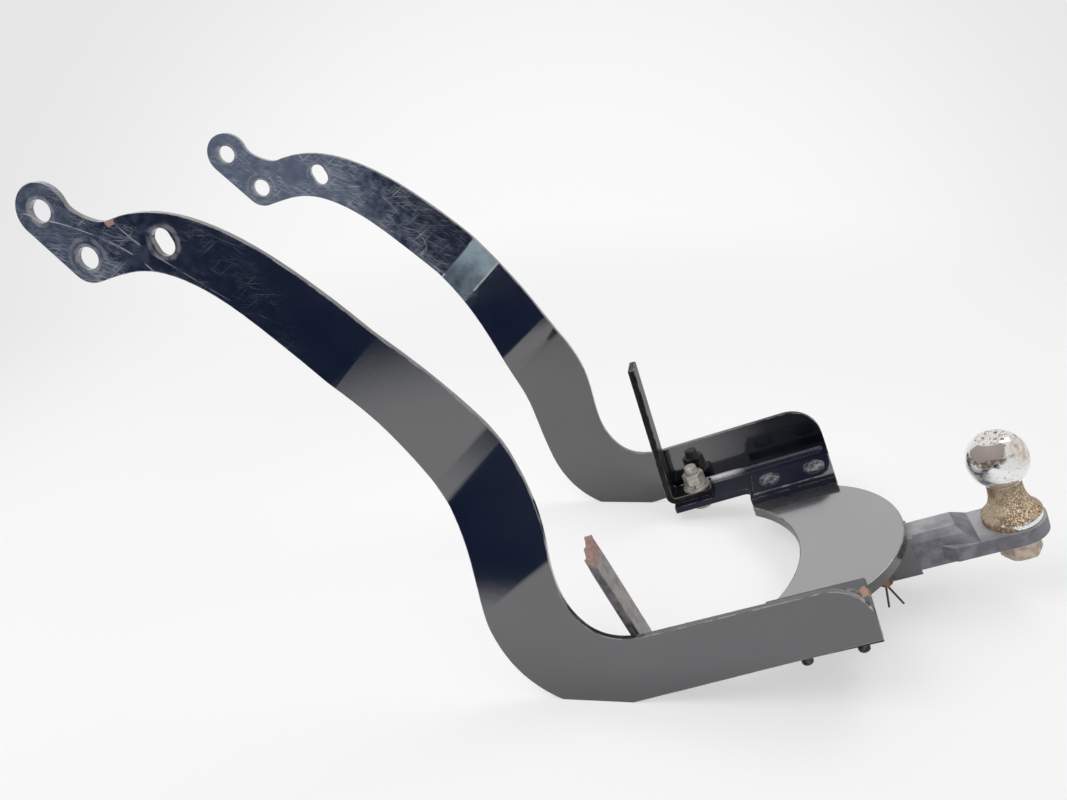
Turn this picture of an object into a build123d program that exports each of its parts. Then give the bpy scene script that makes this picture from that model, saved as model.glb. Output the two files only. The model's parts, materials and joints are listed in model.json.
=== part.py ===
from build123d import *
import os
from math import acos, atan2, cos, degrees, hypot, radians, sin, tan

# Motorcycle trailer hitch, in millimetres.
# The origin is the centre of the tow ball, +X points to the rear and +Z up.
# The left side is at -Y. Heights are measured from the ball's centre.

# Tow ball
BALL_D = 47.6
BALL_FLAT_D = 24.2
BALL_RISE = 55.0
NECK_D = 27.0
NECK_FOOT = 30.0
BALL_FLANGE_D = 46.5
BALL_FLANGE_T = 7.0
BALL_SHANK_D = 19.05
NECK_FLARE = (1, -0.8)

# Drawbar
BAR_W = 31.75
BAR_INSIDE = 75.0
BAR_END_X = -45.0
BAR_EDGE_CUT = 5.5
BAR_EDGE_BREAK = 1.0
NOSE_RUN = 14.0
NOSE_BULGE = 1.5
TONGUE_W = 50.0
TONGUE_T = 12.7
TONGUE_FRONT_X = -60.0
SHOULDER_RUN = 9.0

# Receiver tube
RECEIVER_WALL = 2.875
RECEIVER_GAP = 0.3
RECEIVER_END_LEAN = 7.0
RECEIVER_REAR_X = -82.0
RECEIVER_L = 84.0
RECEIVER_CORNER_R = 4.0
RECEIVER_WELD = 5.0
RECEIVER_WELD_DEPTH = 5.0

# Plates of the frame
FRAME_DROP = 22.65
FLANGE_T = 6.35
FLANGE_W = 40.0
FLANGE_WIDE_W = 66.0
FLANGE_L = 156.7
FLANGE_STEP_R = 8.0
CRESCENT_T = 9.5
CRESCENT_INSET = 18.0
CRESCENT_END_L = 80.5
WHEEL_BAY_R = 119.0
WHEEL_BAY_DEPTH = 35.6
CRESCENT_REAR_R = 105.0
CRESCENT_REAR_X = -82.0
STRAP_T = 4.76
STRAP_W = 42.0
STRAP_L = 77.0
FLANGE_WELD = 4.0
WELD_END_GAP = 4.0
WELD_FULLNESS = 0.6

# Side arms
ARM_T = 4.76
ARM_SPACING = 310.0
ARM_REAR_X = -123.5
BAR_TOP = 24.0
BAR_FRONT_DEPTH = 29.5
BAR_REAR_DEPTH = 24.0
REAR_CORNER_R = 30.0
EDGE_BREAK = 0.7

# The arm's two long edges, as (x, z) from the foot of the head to the bar
FRONT_EDGE = [
    (-508, 391.5),
    (-480, 372),
    (-438.5, 311.5),
    (-405.8, 246.6),
    (-389, 183),
    (-383, 127),
    (-388, 59),
    (-373, 5),
]
FRONT_EDGE_END_X = -320.0
REAR_EDGE = [
    (-309, 33),
    (-325, 62.5),
    (-320, 128.5),
    (-332, 203.5),
    (-360, 272.5),
    (-402.5, 347),
    (-449.5, 403.5),
    (-485, 426),
]
REAR_EDGE_START_X = -281.0
HEAD_TOP = (-516.5, 432.0)
NOTCH = (-532.5, 439.7)
END_PULL = (1, 1)

# Head of the arm: two round lobes and three holes
LOBE_1 = (-561.5, 455.3)
LOBE_1_R = 19.5
LOBE_2 = (-544.6, 414.4)
LOBE_2_R = 17.5
LOBE_2_END = 267.0
HOLE_D = 16.0
HOLE_1 = (-562, 455.2)
HOLE_2 = (-545.4, 414.4)
SLOT_HOLE = (-485.5, 404.5)
SLOT_W = 14.0
SLOT_L = 19.5
SLOT_TURN = 96.0

# The arm is a flat plate bent along three parallel lines. BEND_TURN is their angle
# above +X. Each bend stands at a distance down the arm, with the inner face's
# distance from its place at the bar.
BEND_TURN = 27.0
BEND_R = 40.0
HEAD_END = (-720, -19.4)
BENDS = [(-435.5, -6.1), (-335, -23.6), (-314, -23.6), (-235, 0)]
BAR_RUN_END = 60.0

# Carriage bolts through strap plate, flange and crescent plate
CARRIAGE_D = 9.525
CARRIAGE_L = 47.6
CARRIAGE_HEAD_D = 21.0
CARRIAGE_HEAD_H = 5.0
CARRIAGE_RIM_H = 1.0
CARRIAGE_RIM_SLOPE = (-0.35, 1)
CARRIAGE_X = [-183.0, -140.0]
CARRIAGE_INSET = 44.5
CARRIAGE_NUT_AF = 14.3
CARRIAGE_NUT_H = 8.5
CARRIAGE_WASHER_T = 2.4
CARRIAGE_WASHER_W = 3.6

# Strut bars and their foot bolts
STRUT_W = 25.4
STRUT_T = 6.35
STRUT_BEND_R = 3.0
STRUT_INSET = 19.5
STRUT_OVERHANG = 6.5
FOOT_L = 46.0
RIGHT_STRUT_H = 149.6
RIGHT_STRUT_LEAN = -4.35
LEFT_STRUT_H = 121.6
LEFT_STRUT_LEAN = 8.4
# The torn end of the left strut: share of the width from its outer edge, depth from its tip
TORN_END = [(-0.04, 9.0), (0.25, 11.0), (0.45, 6.0), (0.7, 8.0), (1.04, 3.0)]
STRUT_BOLT_D = 12.7
STRUT_BOLT_SETBACK = 25.4
STRUT_BOLT_STAND = 24.0
STRUT_NUT_AF = 19.05
STRUT_NUT_H = 11.0
STRUT_HEAD_H = 8.0
FLAT_WASHER_D = 27.0
FLAT_WASHER_T = 2.5
STRUT_LOCK_WASHER_T = 3.2
STRUT_LOCK_WASHER_W = 4.0

# Ball nut and its lock washer
BALL_NUT_AF = 28.6
BALL_NUT_H = 16.3
BALL_WASHER_T = 3.8
BALL_WASHER_W = 5.6
BALL_THREAD_STAND = 0.7

# Hitch pin and cotter pin
PIN_D = 12.7
PIN_X = -110.5
PIN_STAND = 23.0
PIN_HEAD_D = 20.0
PIN_HEAD_H = 6.0
PIN_RUNNING_GAP = 0.08
PIN_BAR_GAP = 0.8
PIN_SIDE_GAP = 0.3
COTTER_SETBACK = 5.0
COTTER_WIRE_D = 1.8
COTTER_HOLE_D = 4.4
COTTER_BEND_R = 2.0
COTTER_EYE_W = 8.0
COTTER_EYE_H = 8.5
COTTER_LEG_L = 21.4
COTTER_FRONT_SPLAY = 3.5
COTTER_REAR_SPLAY = 8.3
COTTER_SPLIT_DROP = 3.0
COTTER_LEG_GAP = 0.2

# Clearances
BOLT_GAP = 0.4
THREAD_GAP = 0.15
NUT_CHAMFER = 0.9
SPLIT_W = 1.6
END_CHAMFER = 1.0
CUT_MARGIN = 1.0

# Heights and places that follow from the sizes above
receiver_w = BAR_W + 2 * (RECEIVER_GAP + RECEIVER_WALL)
flange_top = -FRAME_DROP
flange_bottom = flange_top - FLANGE_T
crescent_bottom = flange_bottom - CRESCENT_T
receiver_z = crescent_bottom - receiver_w / 2
receiver_front_x = RECEIVER_REAR_X - RECEIVER_L
tongue_top = -BALL_RISE
tongue_bottom = tongue_top - TONGUE_T
arm_inner_y = ARM_SPACING / 2
flange_front_x = ARM_REAR_X - FLANGE_L
wide_front_x = ARM_REAR_X - CRESCENT_END_L
wide_inner_y = arm_inner_y - FLANGE_WIDE_W
carriage_y = arm_inner_y - CARRIAGE_INSET
carriage_spots = [(x, -carriage_y) for x in CARRIAGE_X]
strut_y = arm_inner_y - STRUT_INSET
strut_bolt_x = flange_front_x + STRUT_BOLT_SETBACK
foot_top = flange_top + STRUT_T
bend_down = (sin(radians(BEND_TURN)), 0, -cos(radians(BEND_TURN)))
bend_along = (cos(radians(BEND_TURN)), 0, sin(radians(BEND_TURN)))

os.makedirs("parts", exist_ok=True)


def save(piece, name):
    piece.label = name
    export_step(piece, f"parts/{name}.step")
    print(name, len(piece.solids()), "solids", round(piece.volume), "mm3")


def save_pair(left_piece, name):
    """Writes a left piece and its mirror image on the right."""
    save(left_piece, f"left_{name}")
    save(mirror(left_piece, about=Plane.XZ, mode=Mode.PRIVATE), f"right_{name}")


def lock_washer(bore, width, thickness):
    """A split spring washer that stands on the XY plane."""
    with BuildPart() as washer:
        with BuildSketch():
            Circle(bore / 2 + width)
            Circle(bore / 2, mode=Mode.SUBTRACT)
            with Locations((0, bore / 2 + width / 2)):
                Rectangle(SPLIT_W, width * 2, rotation=25, mode=Mode.SUBTRACT)
        extrude(amount=thickness)
    return washer.part


def hexagon(across_flats, height, bore):
    """A hexagon nut, or a bolt head where the bore is 0, standing on the XY plane."""
    corner_r = across_flats / 2 / cos(radians(30))
    drop = NUT_CHAMFER
    with BuildPart() as nut:
        with BuildSketch():
            RegularPolygon(across_flats / 2, 6, major_radius=False)
            if bore > 0:
                Circle(bore / 2, mode=Mode.SUBTRACT)
        extrude(amount=height)
        with BuildSketch(Plane.XZ):
            with BuildLine():
                Polyline(
                    (0, 0),
                    (corner_r - 2 * drop, 0),
                    (corner_r, drop),
                    (corner_r, height - drop),
                    (corner_r - 2 * drop, height),
                    (0, height),
                    close=True,
                )
            make_face()
        revolve(axis=Axis.Z, mode=Mode.INTERSECT)
    return nut.part


def head_plane(spot):
    """The plane of the left head's inner face at a hole: z points inward, y down."""
    (far_t, far_y), (near_t, near_y) = HEAD_END, BENDS[0]
    slope = (near_y - far_y) / (near_t - far_t)
    spot_t = spot[0] * bend_down[0] + spot[1] * bend_down[2]
    face_y = arm_inner_y + near_y + slope * (spot_t - near_t)
    normal = (slope * bend_down[0], 1, slope * bend_down[2])
    return Plane(origin=(spot[0], -face_y, spot[1]), x_dir=bend_along, z_dir=normal)


# Side arm: the outline seen from the side, cut from a plate with three bends
lobe_step = (LOBE_2[0] - LOBE_1[0], LOBE_2[1] - LOBE_1[1])
lobe_distance = hypot(*lobe_step)
lean = degrees(atan2(lobe_step[1], lobe_step[0]))
tangent_turn = 360 + lean - degrees(acos((LOBE_1_R - LOBE_2_R) / lobe_distance))
lobe_end = radians(LOBE_2_END)
front_start = (LOBE_2[0] + LOBE_2_R * cos(lobe_end), LOBE_2[1] + LOBE_2_R * sin(lobe_end))
bar_under = (FRONT_EDGE_END_X, -BAR_FRONT_DEPTH)
bar_corner = (ARM_REAR_X, -BAR_REAR_DEPTH)
corner_centre = (ARM_REAR_X - REAR_CORNER_R, BAR_TOP - REAR_CORNER_R)
lobe_side = (LOBE_1[0] + LOBE_1_R, LOBE_1[1])

with BuildPart() as left_arm:
    with BuildSketch(Plane.XZ.offset(arm_inner_y / 2)):
        with BuildLine():
            CenterArc(LOBE_1, LOBE_1_R, 0, tangent_turn)
            lobe_2_arc = CenterArc(LOBE_2, LOBE_2_R, tangent_turn, LOBE_2_END - tangent_turn)
            Line(
                (
                    LOBE_1[0] + LOBE_1_R * cos(radians(tangent_turn)),
                    LOBE_1[1] + LOBE_1_R * sin(radians(tangent_turn)),
                ),
                lobe_2_arc @ 0,
            )
            Spline(
                front_start,
                *FRONT_EDGE,
                bar_under,
                tangents=(lobe_2_arc % 1, (1, 0)),
                tangent_scalars=END_PULL,
            )
            Line(bar_under, bar_corner)
            Line(bar_corner, (ARM_REAR_X, corner_centre[1]))
            CenterArc(corner_centre, REAR_CORNER_R, 0, 90)
            Line((corner_centre[0], BAR_TOP), (REAR_EDGE_START_X, BAR_TOP))
            Spline(
                (REAR_EDGE_START_X, BAR_TOP),
                *REAR_EDGE,
                HEAD_TOP,
                tangents=((-1, 0), (-1, 0)),
                tangent_scalars=END_PULL,
            )
            Spline(
                HEAD_TOP,
                NOTCH,
                lobe_side,
                tangents=((-1, 0), (0, 1)),
                tangent_scalars=END_PULL,
            )
        make_face()
    extrude(amount=arm_inner_y)
    with BuildSketch(Plane(origin=(0, 0, 0), x_dir=bend_down, z_dir=bend_along)):
        with BuildLine():
            faces_line = FilletPolyline(
                (HEAD_END[0], -arm_inner_y - HEAD_END[1]),
                *[(down, -arm_inner_y - step) for down, step in BENDS],
                (BAR_RUN_END, -arm_inner_y),
                radius=BEND_R,
            )
            offset(faces_line, amount=ARM_T, side=Side.RIGHT)
        make_face()
    extrude(amount=2 * abs(LOBE_1[0]), both=True, mode=Mode.INTERSECT)
    for hole in (HOLE_1, HOLE_2):
        with BuildSketch(head_plane(hole)):
            Circle(HOLE_D / 2)
        extrude(amount=2 * ARM_T, both=True, mode=Mode.SUBTRACT)
    with BuildSketch(head_plane(SLOT_HOLE)):
        SlotOverall(SLOT_L, SLOT_W, rotation=BEND_TURN - SLOT_TURN)
    extrude(amount=2 * ARM_T, both=True, mode=Mode.SUBTRACT)
save_pair(left_arm.part, "arm")
for name, hole in (("hole 1", HOLE_1), ("hole 2", HOLE_2), ("slot", SLOT_HOLE)):
    plane = head_plane(hole)
    print(name, "inner face at", plane.origin, "facing", plane.z_dir)

# Flange: a flat plate against the inside of the bar, wider over the crescent plate
with BuildPart() as left_flange:
    with BuildSketch(Plane.XY.offset(flange_bottom)):
        with BuildLine():
            Polyline(
                (flange_front_x, -arm_inner_y),
                (ARM_REAR_X, -arm_inner_y),
                (ARM_REAR_X, -wide_inner_y),
                (wide_front_x, -wide_inner_y),
                (wide_front_x, -arm_inner_y + FLANGE_W),
                (flange_front_x, -arm_inner_y + FLANGE_W),
                close=True,
            )
        flange_face = make_face()
        step_corner = flange_face.vertices().sort_by_distance((wide_front_x, -arm_inner_y + FLANGE_W))
        fillet(step_corner[0], radius=FLANGE_STEP_R)
        with Locations(*carriage_spots):
            Circle(CARRIAGE_D / 2 + BOLT_GAP, mode=Mode.SUBTRACT)
        with Locations((strut_bolt_x, -strut_y)):
            Circle(STRUT_BOLT_D / 2 + BOLT_GAP, mode=Mode.SUBTRACT)
    extrude(amount=FLANGE_T)
save_pair(left_flange.part, "flange")

# Weld bead in the corner between the flange's top and the arm's inner face
with BuildPart() as left_flange_weld:
    with BuildSketch(Plane.YZ.offset(flange_front_x + WELD_END_GAP)):
        with BuildLine():
            corner = (-arm_inner_y, flange_top)
            bead = FLANGE_WELD * WELD_FULLNESS
            Line(corner, (-arm_inner_y + FLANGE_WELD, flange_top))
            ThreePointArc(
                (-arm_inner_y + FLANGE_WELD, flange_top),
                (-arm_inner_y + bead, flange_top + bead),
                (-arm_inner_y, flange_top + FLANGE_WELD),
            )
            Line((-arm_inner_y, flange_top + FLANGE_WELD), corner)
        make_face()
    extrude(amount=FLANGE_L - 2 * WELD_END_GAP)
save_pair(left_flange_weld.part, "flange_weld")

# Strap plate, with square holes for the necks of the carriage bolts
with BuildPart() as left_strap_plate:
    with BuildSketch(Plane.XY.offset(flange_top)):
        strap_centre = (ARM_REAR_X - STRAP_L / 2, -wide_inner_y - STRAP_W / 2)
        with Locations(strap_centre):
            Rectangle(STRAP_L, STRAP_W)
        with Locations(*carriage_spots):
            Rectangle(CARRIAGE_D + BOLT_GAP, CARRIAGE_D + BOLT_GAP, mode=Mode.SUBTRACT)
    extrude(amount=STRAP_T)
    chamfer(left_strap_plate.faces().sort_by(Axis.Z)[-1].outer_wire().edges(), EDGE_BREAK)
save_pair(left_strap_plate.part, "strap_plate")

# Crescent plate: the wheel's bay in front, a round edge behind
bay_centre_x = wide_front_x + WHEEL_BAY_DEPTH - WHEEL_BAY_R
bay_half = (WHEEL_BAY_R**2 - (wide_front_x - bay_centre_x) ** 2) ** 0.5
rear_centre_x = CRESCENT_REAR_X - CRESCENT_REAR_R
rear_half = (CRESCENT_REAR_R**2 - (ARM_REAR_X - rear_centre_x) ** 2) ** 0.5
crescent_end_y = arm_inner_y - CRESCENT_INSET

with BuildPart() as crescent_plate:
    with BuildSketch(Plane.XY.offset(crescent_bottom)):
        with BuildLine():
            ThreePointArc(
                (wide_front_x, -bay_half),
                (bay_centre_x + WHEEL_BAY_R, 0),
                (wide_front_x, bay_half),
            )
            Polyline(
                (wide_front_x, bay_half),
                (wide_front_x, crescent_end_y),
                (ARM_REAR_X, crescent_end_y),
                (ARM_REAR_X, rear_half),
            )
            ThreePointArc(
                (ARM_REAR_X, rear_half),
                (CRESCENT_REAR_X, 0),
                (ARM_REAR_X, -rear_half),
            )
            Polyline(
                (ARM_REAR_X, -rear_half),
                (ARM_REAR_X, -crescent_end_y),
                (wide_front_x, -crescent_end_y),
                (wide_front_x, -bay_half),
            )
        make_face()
        with Locations(*carriage_spots, *[(x, -y) for x, y in carriage_spots]):
            Circle(CARRIAGE_D / 2 + BOLT_GAP, mode=Mode.SUBTRACT)
    extrude(amount=CRESCENT_T)
    chamfer(crescent_plate.faces().sort_by(Axis.Z)[-1].outer_wire().edges(), EDGE_BREAK)
save(crescent_plate.part, "crescent_plate")

# Receiver tube, welded under the crescent plate and drilled for the hitch pin
with BuildPart() as receiver_tube:
    receiver_plane = Plane(origin=(receiver_front_x, 0, receiver_z), x_dir=(0, 1, 0), z_dir=(1, 0, 0))
    with BuildSketch(receiver_plane):
        RectangleRounded(receiver_w, receiver_w, RECEIVER_CORNER_R)
        Rectangle(BAR_W + 2 * RECEIVER_GAP, BAR_W + 2 * RECEIVER_GAP, mode=Mode.SUBTRACT)
    extrude(amount=RECEIVER_L + receiver_w)
    end_lean = radians(RECEIVER_END_LEAN)
    end_plane = Plane(
        origin=(RECEIVER_REAR_X, 0, receiver_z),
        z_dir=(cos(end_lean), 0, sin(end_lean)),
    )
    split(bisect_by=end_plane, keep=Keep.BOTTOM)
    with BuildSketch(Plane(origin=(PIN_X, 0, receiver_z), z_dir=(0, 1, 0))):
        Circle(PIN_D / 2 + PIN_RUNNING_GAP)
    extrude(amount=receiver_w, both=True, mode=Mode.SUBTRACT)
save(receiver_tube.part, "receiver_tube")

# Weld beads along both top corners of the receiver tube
with BuildPart() as receiver_weld:
    with BuildSketch(Plane.YZ.offset(receiver_front_x + WELD_END_GAP)):
        for side in (-1, 1):
            with BuildLine():
                wall_y = side * receiver_w / 2
                low_z = crescent_bottom - RECEIVER_WELD_DEPTH
                reach_y = wall_y + side * RECEIVER_WELD
                bead = RECEIVER_WELD * WELD_FULLNESS
                middle = (wall_y + side * bead, crescent_bottom - bead)
                Line((wall_y, crescent_bottom), (reach_y, crescent_bottom))
                ThreePointArc((reach_y, crescent_bottom), middle, (wall_y, low_z))
                Line((wall_y, low_z), (wall_y, crescent_bottom))
            make_face()
    extrude(amount=RECEIVER_L - 2 * WELD_END_GAP)
save(receiver_weld.part, "receiver_weld")

# Drawbar: a square bar that goes into the receiver, and a flat tongue for the ball
bar_front_x = RECEIVER_REAR_X - BAR_INSIDE
bar_top = receiver_z + BAR_W / 2
bar_bottom = receiver_z - BAR_W / 2
tongue_r = TONGUE_W / 2
cut_x = RECEIVER_REAR_X + 2 * END_CHAMFER

with BuildPart() as drawbar:
    with BuildSketch(Plane.XZ):
        with BuildLine():
            Polyline(
                (bar_front_x, bar_bottom),
                (BAR_END_X, bar_bottom),
                (BAR_END_X, tongue_bottom + TONGUE_T / 2),
                (TONGUE_FRONT_X, tongue_bottom + TONGUE_T / 2),
                (TONGUE_FRONT_X, bar_top),
                (bar_front_x, bar_top),
                close=True,
            )
        make_face()
    extrude(amount=BAR_W / 2, both=True)
    bar_edges = drawbar.edges().filter_by(Axis.X).group_by(Axis.Z)
    chamfer(bar_edges[0] + bar_edges[-1], BAR_EDGE_BREAK)
    for side in (-1, 1):
        with BuildSketch(Plane.YZ.offset(cut_x)):
            with BuildLine():
                Polyline(
                    (side * (BAR_W / 2 - BAR_EDGE_CUT), bar_top + CUT_MARGIN),
                    (side * (BAR_W / 2 - BAR_EDGE_CUT), bar_top),
                    (side * BAR_W / 2, bar_top - BAR_EDGE_CUT),
                    (side * (BAR_W / 2 + CUT_MARGIN), bar_top - BAR_EDGE_CUT),
                    (side * (BAR_W / 2 + CUT_MARGIN), bar_top + CUT_MARGIN),
                    close=True,
                )
            make_face()
        extrude(amount=TONGUE_FRONT_X - cut_x, mode=Mode.SUBTRACT)
    nose_levels = [
        (bar_top, BAR_END_X, BAR_W / 2 - BAR_EDGE_CUT, BAR_W / 2 - BAR_EDGE_CUT),
        (bar_top - BAR_EDGE_CUT, BAR_END_X + NOSE_RUN / 3, BAR_W / 2, BAR_W / 2 + NOSE_BULGE),
        (tongue_top, BAR_END_X + NOSE_RUN, BAR_W / 2, tongue_r),
    ]
    for level, end_x, front_half, end_half in nose_levels:
        with BuildSketch(Plane.XY.offset(level)):
            Polygon(
                (TONGUE_FRONT_X, -front_half),
                (end_x, -end_half),
                (end_x, end_half),
                (TONGUE_FRONT_X, front_half),
                align=None,
            )
    loft(ruled=True)
    with BuildSketch(Plane.XY.offset(tongue_bottom)):
        with BuildLine():
            ThreePointArc((0, -tongue_r), (tongue_r, 0), (0, tongue_r))
            Polyline(
                (0, tongue_r),
                (TONGUE_FRONT_X + SHOULDER_RUN, tongue_r),
                (TONGUE_FRONT_X, BAR_W / 2),
                (TONGUE_FRONT_X, -BAR_W / 2),
                (TONGUE_FRONT_X + SHOULDER_RUN, -tongue_r),
                (0, -tongue_r),
            )
        make_face()
    extrude(amount=TONGUE_T)
    with BuildSketch(Plane.XY.offset(tongue_bottom)):
        Circle(BALL_SHANK_D / 2 + BOLT_GAP)
    extrude(amount=TONGUE_T, mode=Mode.SUBTRACT)
    with BuildSketch(Plane(origin=(PIN_X, 0, receiver_z), z_dir=(0, 1, 0))):
        Circle(PIN_D / 2 + PIN_BAR_GAP)
    extrude(amount=BAR_W, both=True, mode=Mode.SUBTRACT)
save(drawbar.part, "drawbar")

# Tow ball, turned from one piece with its neck, flange and shank
ball_r = BALL_D / 2
flat_r = BALL_FLAT_D / 2
neck_r = NECK_D / 2
ball_flat_z = (ball_r**2 - flat_r**2) ** 0.5
neck_top_z = -((ball_r**2 - neck_r**2) ** 0.5)
neck_foot_z = tongue_top + NECK_FOOT
flange_rim_z = tongue_top + BALL_FLANGE_T
shank_end_z = tongue_bottom - BALL_WASHER_T - BALL_NUT_H - BALL_THREAD_STAND

with BuildPart() as tow_ball:
    with BuildSketch(Plane.XZ):
        with BuildLine():
            Line((0, ball_flat_z), (flat_r, ball_flat_z))
            ThreePointArc((flat_r, ball_flat_z), (ball_r, 0), (neck_r, neck_top_z))
            Line((neck_r, neck_top_z), (neck_r, neck_foot_z))
            Spline(
                (neck_r, neck_foot_z),
                (BALL_FLANGE_D / 2, flange_rim_z),
                tangents=((0, -1), NECK_FLARE),
            )
            Polyline(
                (BALL_FLANGE_D / 2, flange_rim_z),
                (BALL_FLANGE_D / 2, tongue_top),
                (BALL_SHANK_D / 2, tongue_top),
                (BALL_SHANK_D / 2, shank_end_z + END_CHAMFER),
                (BALL_SHANK_D / 2 - END_CHAMFER, shank_end_z),
                (0, shank_end_z),
                (0, ball_flat_z),
            )
        make_face()
    revolve(axis=Axis.Z)
save(tow_ball.part, "tow_ball")

with BuildPart() as ball_lock_washer:
    with Locations((0, 0, tongue_bottom - BALL_WASHER_T)):
        add(lock_washer(BALL_SHANK_D + 2 * BOLT_GAP, BALL_WASHER_W, BALL_WASHER_T))
save(ball_lock_washer.part, "ball_lock_washer")

with BuildPart() as ball_nut:
    with Locations((0, 0, tongue_bottom - BALL_WASHER_T - BALL_NUT_H)):
        add(hexagon(BALL_NUT_AF, BALL_NUT_H, BALL_SHANK_D + 2 * THREAD_GAP))
save(ball_nut.part, "ball_nut")

# Carriage bolt: a low domed head, a square neck and a plain shank
strap_top = flange_top + STRAP_T
head_r = CARRIAGE_HEAD_D / 2

with BuildPart() as carriage_bolt:
    with BuildSketch(Plane.XZ):
        with BuildLine():
            Line((0, 0), (head_r, 0))
            Line((head_r, 0), (head_r, CARRIAGE_RIM_H))
            Spline(
                (head_r, CARRIAGE_RIM_H),
                (0, CARRIAGE_HEAD_H),
                tangents=(CARRIAGE_RIM_SLOPE, (-1, 0)),
            )
            Line((0, CARRIAGE_HEAD_H), (0, 0))
        make_face()
    revolve(axis=Axis.Z)
    with BuildSketch():
        Rectangle(CARRIAGE_D, CARRIAGE_D)
    extrude(amount=-STRAP_T)
    with BuildSketch():
        Circle(CARRIAGE_D / 2)
    extrude(amount=-CARRIAGE_L)
    chamfer(carriage_bolt.faces().sort_by(Axis.Z)[0].edges(), END_CHAMFER)

with BuildPart() as left_carriage_bolts:
    with Locations(*[(x, y, strap_top) for x, y in carriage_spots]):
        add(carriage_bolt.part)
save_pair(left_carriage_bolts.part, "carriage_bolts")

washer_low = crescent_bottom - CARRIAGE_WASHER_T
with BuildPart() as left_carriage_lock_washers:
    with Locations(*[(x, y, washer_low) for x, y in carriage_spots]):
        add(lock_washer(CARRIAGE_D + 2 * BOLT_GAP, CARRIAGE_WASHER_W, CARRIAGE_WASHER_T))
save_pair(left_carriage_lock_washers.part, "carriage_lock_washers")

with BuildPart() as left_carriage_nuts:
    with Locations(*[(x, y, washer_low - CARRIAGE_NUT_H) for x, y in carriage_spots]):
        add(hexagon(CARRIAGE_NUT_AF, CARRIAGE_NUT_H, CARRIAGE_D + 2 * THREAD_GAP))
save_pair(left_carriage_nuts.part, "carriage_nuts")


# Struts: flat bar bent to an L, standing at the front end of each flange
def strut(side, height, lean_deg):
    """A strut on side -1 or 1. A positive lean tips its top to the front."""
    front_x = flange_front_x - STRUT_OVERHANG
    top = (front_x - height * tan(radians(lean_deg)), flange_top + height)
    with BuildPart() as bar:
        with BuildSketch(Plane.XZ.offset(-side * strut_y)):
            with BuildLine():
                outside = FilletPolyline(
                    (front_x + FOOT_L, flange_top),
                    (front_x, flange_top),
                    top,
                    radius=STRUT_BEND_R + STRUT_T,
                )
                offset(outside, amount=STRUT_T, side=Side.RIGHT)
            make_face()
        extrude(amount=STRUT_W / 2, both=True)
        with BuildSketch(Plane.XY.offset(flange_top)):
            with Locations((strut_bolt_x, side * strut_y)):
                Circle(STRUT_BOLT_D / 2 + BOLT_GAP)
        extrude(amount=STRUT_T, mode=Mode.SUBTRACT)
    return bar.part


with BuildPart() as right_strut:
    add(strut(1, RIGHT_STRUT_H, RIGHT_STRUT_LEAN))
    chamfer(right_strut.faces().sort_by(Axis.Z)[-1].edges(), EDGE_BREAK)
save(right_strut.part, "right_strut")

# The left strut is torn off short: its end is ragged
with BuildPart() as left_strut:
    add(strut(-1, LEFT_STRUT_H, LEFT_STRUT_LEAN))
    tip_z = flange_top + LEFT_STRUT_H
    with BuildSketch(Plane.YZ):
        with BuildLine():
            outer_y = -strut_y - STRUT_W / 2
            torn = [(outer_y + share * STRUT_W, tip_z - depth) for share, depth in TORN_END]
            Polyline(
                *torn,
                (torn[-1][0], tip_z + STRUT_T),
                (torn[0][0], tip_z + STRUT_T),
                close=True,
            )
        make_face()
    extrude(amount=2 * flange_front_x, mode=Mode.SUBTRACT)
save(left_strut.part, "left_strut")

# Strut bolts: head under the flange, washers and nut above the strut's foot
with BuildPart() as left_strut_bolt:
    with Locations((strut_bolt_x, -strut_y, flange_bottom - STRUT_HEAD_H)):
        add(hexagon(STRUT_NUT_AF, STRUT_HEAD_H, 0))
    with BuildSketch(Plane.XY.offset(flange_bottom)):
        with Locations((strut_bolt_x, -strut_y)):
            Circle(STRUT_BOLT_D / 2)
    extrude(amount=FLANGE_T + STRUT_T + STRUT_BOLT_STAND)
    chamfer(left_strut_bolt.faces().sort_by(Axis.Z)[-1].edges(), END_CHAMFER)
save_pair(left_strut_bolt.part, "strut_bolt")

with BuildPart() as left_strut_washer:
    with BuildSketch(Plane.XY.offset(foot_top)):
        with Locations((strut_bolt_x, -strut_y)):
            Circle(FLAT_WASHER_D / 2)
            Circle(STRUT_BOLT_D / 2 + BOLT_GAP, mode=Mode.SUBTRACT)
    extrude(amount=FLAT_WASHER_T)
save_pair(left_strut_washer.part, "strut_washer")

lock_z = foot_top + FLAT_WASHER_T
with BuildPart() as left_strut_lock_washer:
    with Locations((strut_bolt_x, -strut_y, lock_z)):
        add(lock_washer(STRUT_BOLT_D + 2 * BOLT_GAP, STRUT_LOCK_WASHER_W, STRUT_LOCK_WASHER_T))
save_pair(left_strut_lock_washer.part, "strut_lock_washer")

with BuildPart() as left_strut_nut:
    with Locations((strut_bolt_x, -strut_y, lock_z + STRUT_LOCK_WASHER_T)):
        add(hexagon(STRUT_NUT_AF, STRUT_NUT_H, STRUT_BOLT_D + 2 * THREAD_GAP))
save_pair(left_strut_nut.part, "strut_nut")

# Hitch pin, with a flat head on the right and a cotter hole near its left end
pin_end_y = -receiver_w / 2 - PIN_STAND
pin_head_y = receiver_w / 2 + PIN_SIDE_GAP
cotter_y = pin_end_y + COTTER_SETBACK

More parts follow.
